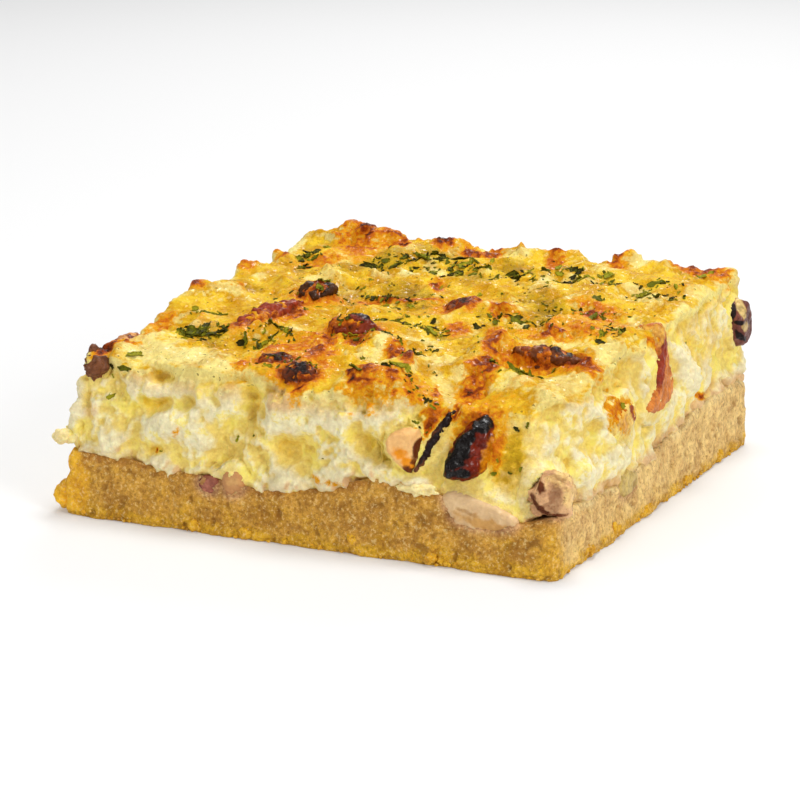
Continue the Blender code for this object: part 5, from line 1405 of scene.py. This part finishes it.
def pastry_material():
    """Short crust: sandy at the cut, golden at the foot, toasted along its top line."""
    made, tree, shader = start_material("short_crust", 0.12, 0.7, 0.2)
    sand = noise_of(tree, 0.7, 3.0, 0.75)
    wide = noise_of(tree, 4.2, 4.0, 0.65)
    # Painted light: the right face gets a paler sand and a paler top line.
    colour = blend(tree, mask_of(tree, "pale_and_lit"), SANDY, LIT_SIDE_SAND)
    toast = math_node(tree, "MULTIPLY", mask_of(tree, "toast"), span(tree, wide, 0.35, 0.6))
    line = blend(tree, mask_of(tree, "pale_and_lit"), TOASTED, LIT_TOP_LINE)
    colour = blend(tree, math_node(tree, "MULTIPLY", toast, 0.8), colour, line)
    patchy = math_node(tree, "MULTIPLY", math_node(tree, "SUBTRACT", wide, 0.46), 2.0)
    patchy = math_node(tree, "MULTIPLY", patchy, span(tree, mask_of(tree, "pale_and_lit"), 0.0, 1.0, 1.0, 0.3))
    gold = math_node(tree, "ADD", mask_of(tree, "gold"), patchy)
    colour = blend(tree, span(tree, gold, 0.1, 1.0, 0.0, 0.85), colour, FRIED)
    colour = blend(tree, span(tree, mask_of(tree, "fried_edge"), 0.0, 1.0, 0.0, 0.9), colour, FRIED_EDGE)
    colour = blend(tree, span(tree, mask_of(tree, "stain"), 0.15, 0.9, 0.0, 0.75), colour, STAIN)
    colour = place_group(tree, mottle, Color=colour, Strength=0.45)["Color"]
    # Dark sand specks, and painted shade in the pits.
    speck = span(tree, sand, 0.34, 0.48, 0.55, 0.0)
    hollow = math_node(tree, "MAXIMUM", math_node(tree, "MULTIPLY", mask_of(tree, "pit_shade"), 0.55), speck)
    hollow = math_node(tree, "MULTIPLY", hollow, span(tree, mask_of(tree, "fried_edge"), 0.1, 0.8, 1.0, 0.3))
    colour = blend(tree, hollow, colour, PIT_SHADE_AND_SPECK)
    colour = blend(tree, span(tree, sand, 0.53, 0.66, 0.0, 0.5), colour, GLINT)
    feed(tree, shader.inputs["Base Color"], colour)
    feed(tree, shader.inputs["Roughness"], span(tree, mask_of(tree, "gold"), 0.0, 1.0, 0.7, 0.5))
    bump(tree, shader, place_group(tree, grain, Fine_Share=0.5)["Height"], 0.5)
    return made


short_crust = pastry_material()
for piece in (pastry, crumbs):
    piece.data.materials.append(short_crust)

# %% [markdown]
# Each piece of mushroom, meat or onion has three colours: its own flesh, a warm one where fat browned it,
# and a dark one at rims and burnt ends, which is also laid as painted shade in the low parts of its grain.
# One function makes all these materials from a short table.

# %% The pieces' materials
FLESH = {
    "chicken_chunk": ((240, 186, 120), (230, 138, 20), (92, 40, 14), 0.38),
    "mushroom_edge": ((96, 54, 34), (150, 92, 50), (28, 14, 14), 0.3),
    "charred_onion": ((104, 26, 6), (196, 116, 12), (13, 8, 8), 0.22),
    "red_onion_left": ((166, 100, 84), (202, 148, 100), (112, 56, 50), 0.4),
    "red_onion_right": ((190, 136, 88), (210, 160, 100), (150, 98, 68), 0.45),
    "onion_layer": ((220, 184, 138), (202, 152, 88), (176, 132, 80), 0.35),
    "bacon_strip": ((206, 118, 50), (236, 172, 72), (134, 46, 26), 0.3),
    "onion_sliver": ((238, 196, 104), (222, 150, 48), (140, 62, 30), 0.35),
    "mushroom_slice": ((112, 64, 58), (214, 180, 116), (26, 14, 14), 0.3),
    "onion_bit_right": ((196, 168, 100), (214, 180, 110), (150, 112, 60), 0.4),
    "corner_mushroom": ((216, 164, 122), (232, 188, 124), (92, 44, 20), 0.4),
    "mushroom_left": ((108, 64, 40), (196, 150, 118), (40, 20, 14), 0.35),
    "mushroom_rind": ((170, 112, 74), (214, 146, 84), (96, 50, 32), 0.35),
    "dark_chunk": ((116, 40, 16), (200, 108, 28), (34, 16, 12), 0.28),
    "red_strip": ((138, 48, 22), (222, 132, 36), (76, 26, 18), 0.3),
    "charred_tip": ((66, 36, 14), (176, 100, 28), (22, 17, 8), 0.34),
    "brown_slice": ((150, 80, 30), (208, 130, 40), (66, 34, 18), 0.32),
    "charred_strip": ((104, 50, 14), (196, 116, 26), (30, 15, 8), 0.34),
    "charred_front": ((104, 48, 22), (204, 124, 38), (34, 18, 12), 0.28),
    "charred_leaf": ((120, 58, 24), (206, 130, 42), (40, 22, 12), 0.28),
}
PLAIN = ("chicken_chunk", "onion_layer", "red_onion_right")
GLAZE = {"charred_onion": 0.8, "charred_tip": 0.35, "charred_strip": 0.35, "dark_chunk": 0.35,
         "mushroom_slice": 0.5}


def flesh_material(name):
    """Flesh, warm and dark colours of one piece, mottled, with a moist coat."""
    own, warm, dark, roughness = FLESH[name]
    made, tree, shader = start_material(name + "_finish", 0.12, 0.7, 0.14)
    fine = math_node(tree, "SUBTRACT", noise_of(tree, 1.0, 3.0, 0.6), 0.5)
    warmth = math_node(tree, "ADD", mask_of(tree, "warm"), math_node(tree, "MULTIPLY", fine, 0.7))
    darkness = math_node(tree, "ADD", mask_of(tree, "dark"), math_node(tree, "MULTIPLY", fine, 0.8))
    colour = blend(tree, span(tree, warmth, 0.2, 0.8), photo_colour(*own), photo_colour(*warm))
    colour = blend(tree, span(tree, darkness, 0.25, 0.75), colour, photo_colour(*dark))
    colour = place_group(tree, mottle, Color=colour, Strength=0.2 if name in PLAIN else 0.5)["Color"]
    flecks = span(tree, noise_of(tree, 0.7, 3.0, 0.7), 0.56, 0.70, 0.0, 0.1 if name in PLAIN else 0.55)
    # Painted shade in the low parts of the grain.
    hollow = span(tree, mask_of(tree, "high"), 0.0, 0.5, 0.1 if name in PLAIN else 0.4, 0.0)
    colour = blend(tree, math_node(tree, "MAXIMUM", flecks, hollow), colour, photo_colour(*dark))
    feed(tree, shader.inputs["Base Color"], colour)
    dull = span(tree, noise_of(tree, 0.7, 2.0), 0.35, 0.65, roughness, roughness + 0.2)
    feed(tree, shader.inputs["Roughness"], dull)
    beads = span(tree, noise_of(tree, 0.9, 2.0), 0.52, 0.64, 0.0, GLAZE.get(name, 0.25))
    feed(tree, shader.inputs["Coat Weight"], beads)
    bump(tree, shader, place_group(tree, grain, Fine_Share=0.3)["Height"], 0.25)
    return made


for name, piece in morsels.items():
    piece.data.materials.append(flesh_material(name))

# %% [markdown]
# Parsley keeps three greens when it dries: nearly black where it crisped, a dull middle green, and a fresh
# yellow-green on a few flakes. Every flake has one tone, kept on its points, with a little noise on top.

# %% The parsley's material
DARK_GREEN = photo_colour(46, 42, 6)
MIDDLE_GREEN = photo_colour(98, 98, 10)
FRESH_GREEN = photo_colour(150, 144, 28)


def parsley_material():
    """Dried leaf with a tone for each flake."""
    made, tree, shader = start_material("dried_parsley", 0.0, 0.4, 0.1)
    fine = math_node(tree, "SUBTRACT", noise_of(tree, 0.6, 3.0, 0.65), 0.5)
    tone = math_node(tree, "ADD", mask_of(tree, "tone"), math_node(tree, "MULTIPLY", fine, 1.2))
    colour = blend(tree, span(tree, tone, 0.10, 0.45), DARK_GREEN, MIDDLE_GREEN)
    colour = blend(tree, span(tree, tone, 0.58, 0.95), colour, FRESH_GREEN)
    feed(tree, shader.inputs["Base Color"], colour)
    feed(tree, shader.inputs["Roughness"], span(tree, tone, 0.0, 1.0, 0.6, 0.75))
    bump(tree, shader, place_group(tree, grain, Fine_Share=0.5)["Height"], 0.1)
    return made


parsley.data.materials.append(parsley_material())
print("materials", len(bpy.data.materials))

# %% [markdown]
# Last, the view layer is brought up to date, so that every new piece stands in place.

# %% Bringing the scene up to date
bpy.context.view_layer.update()
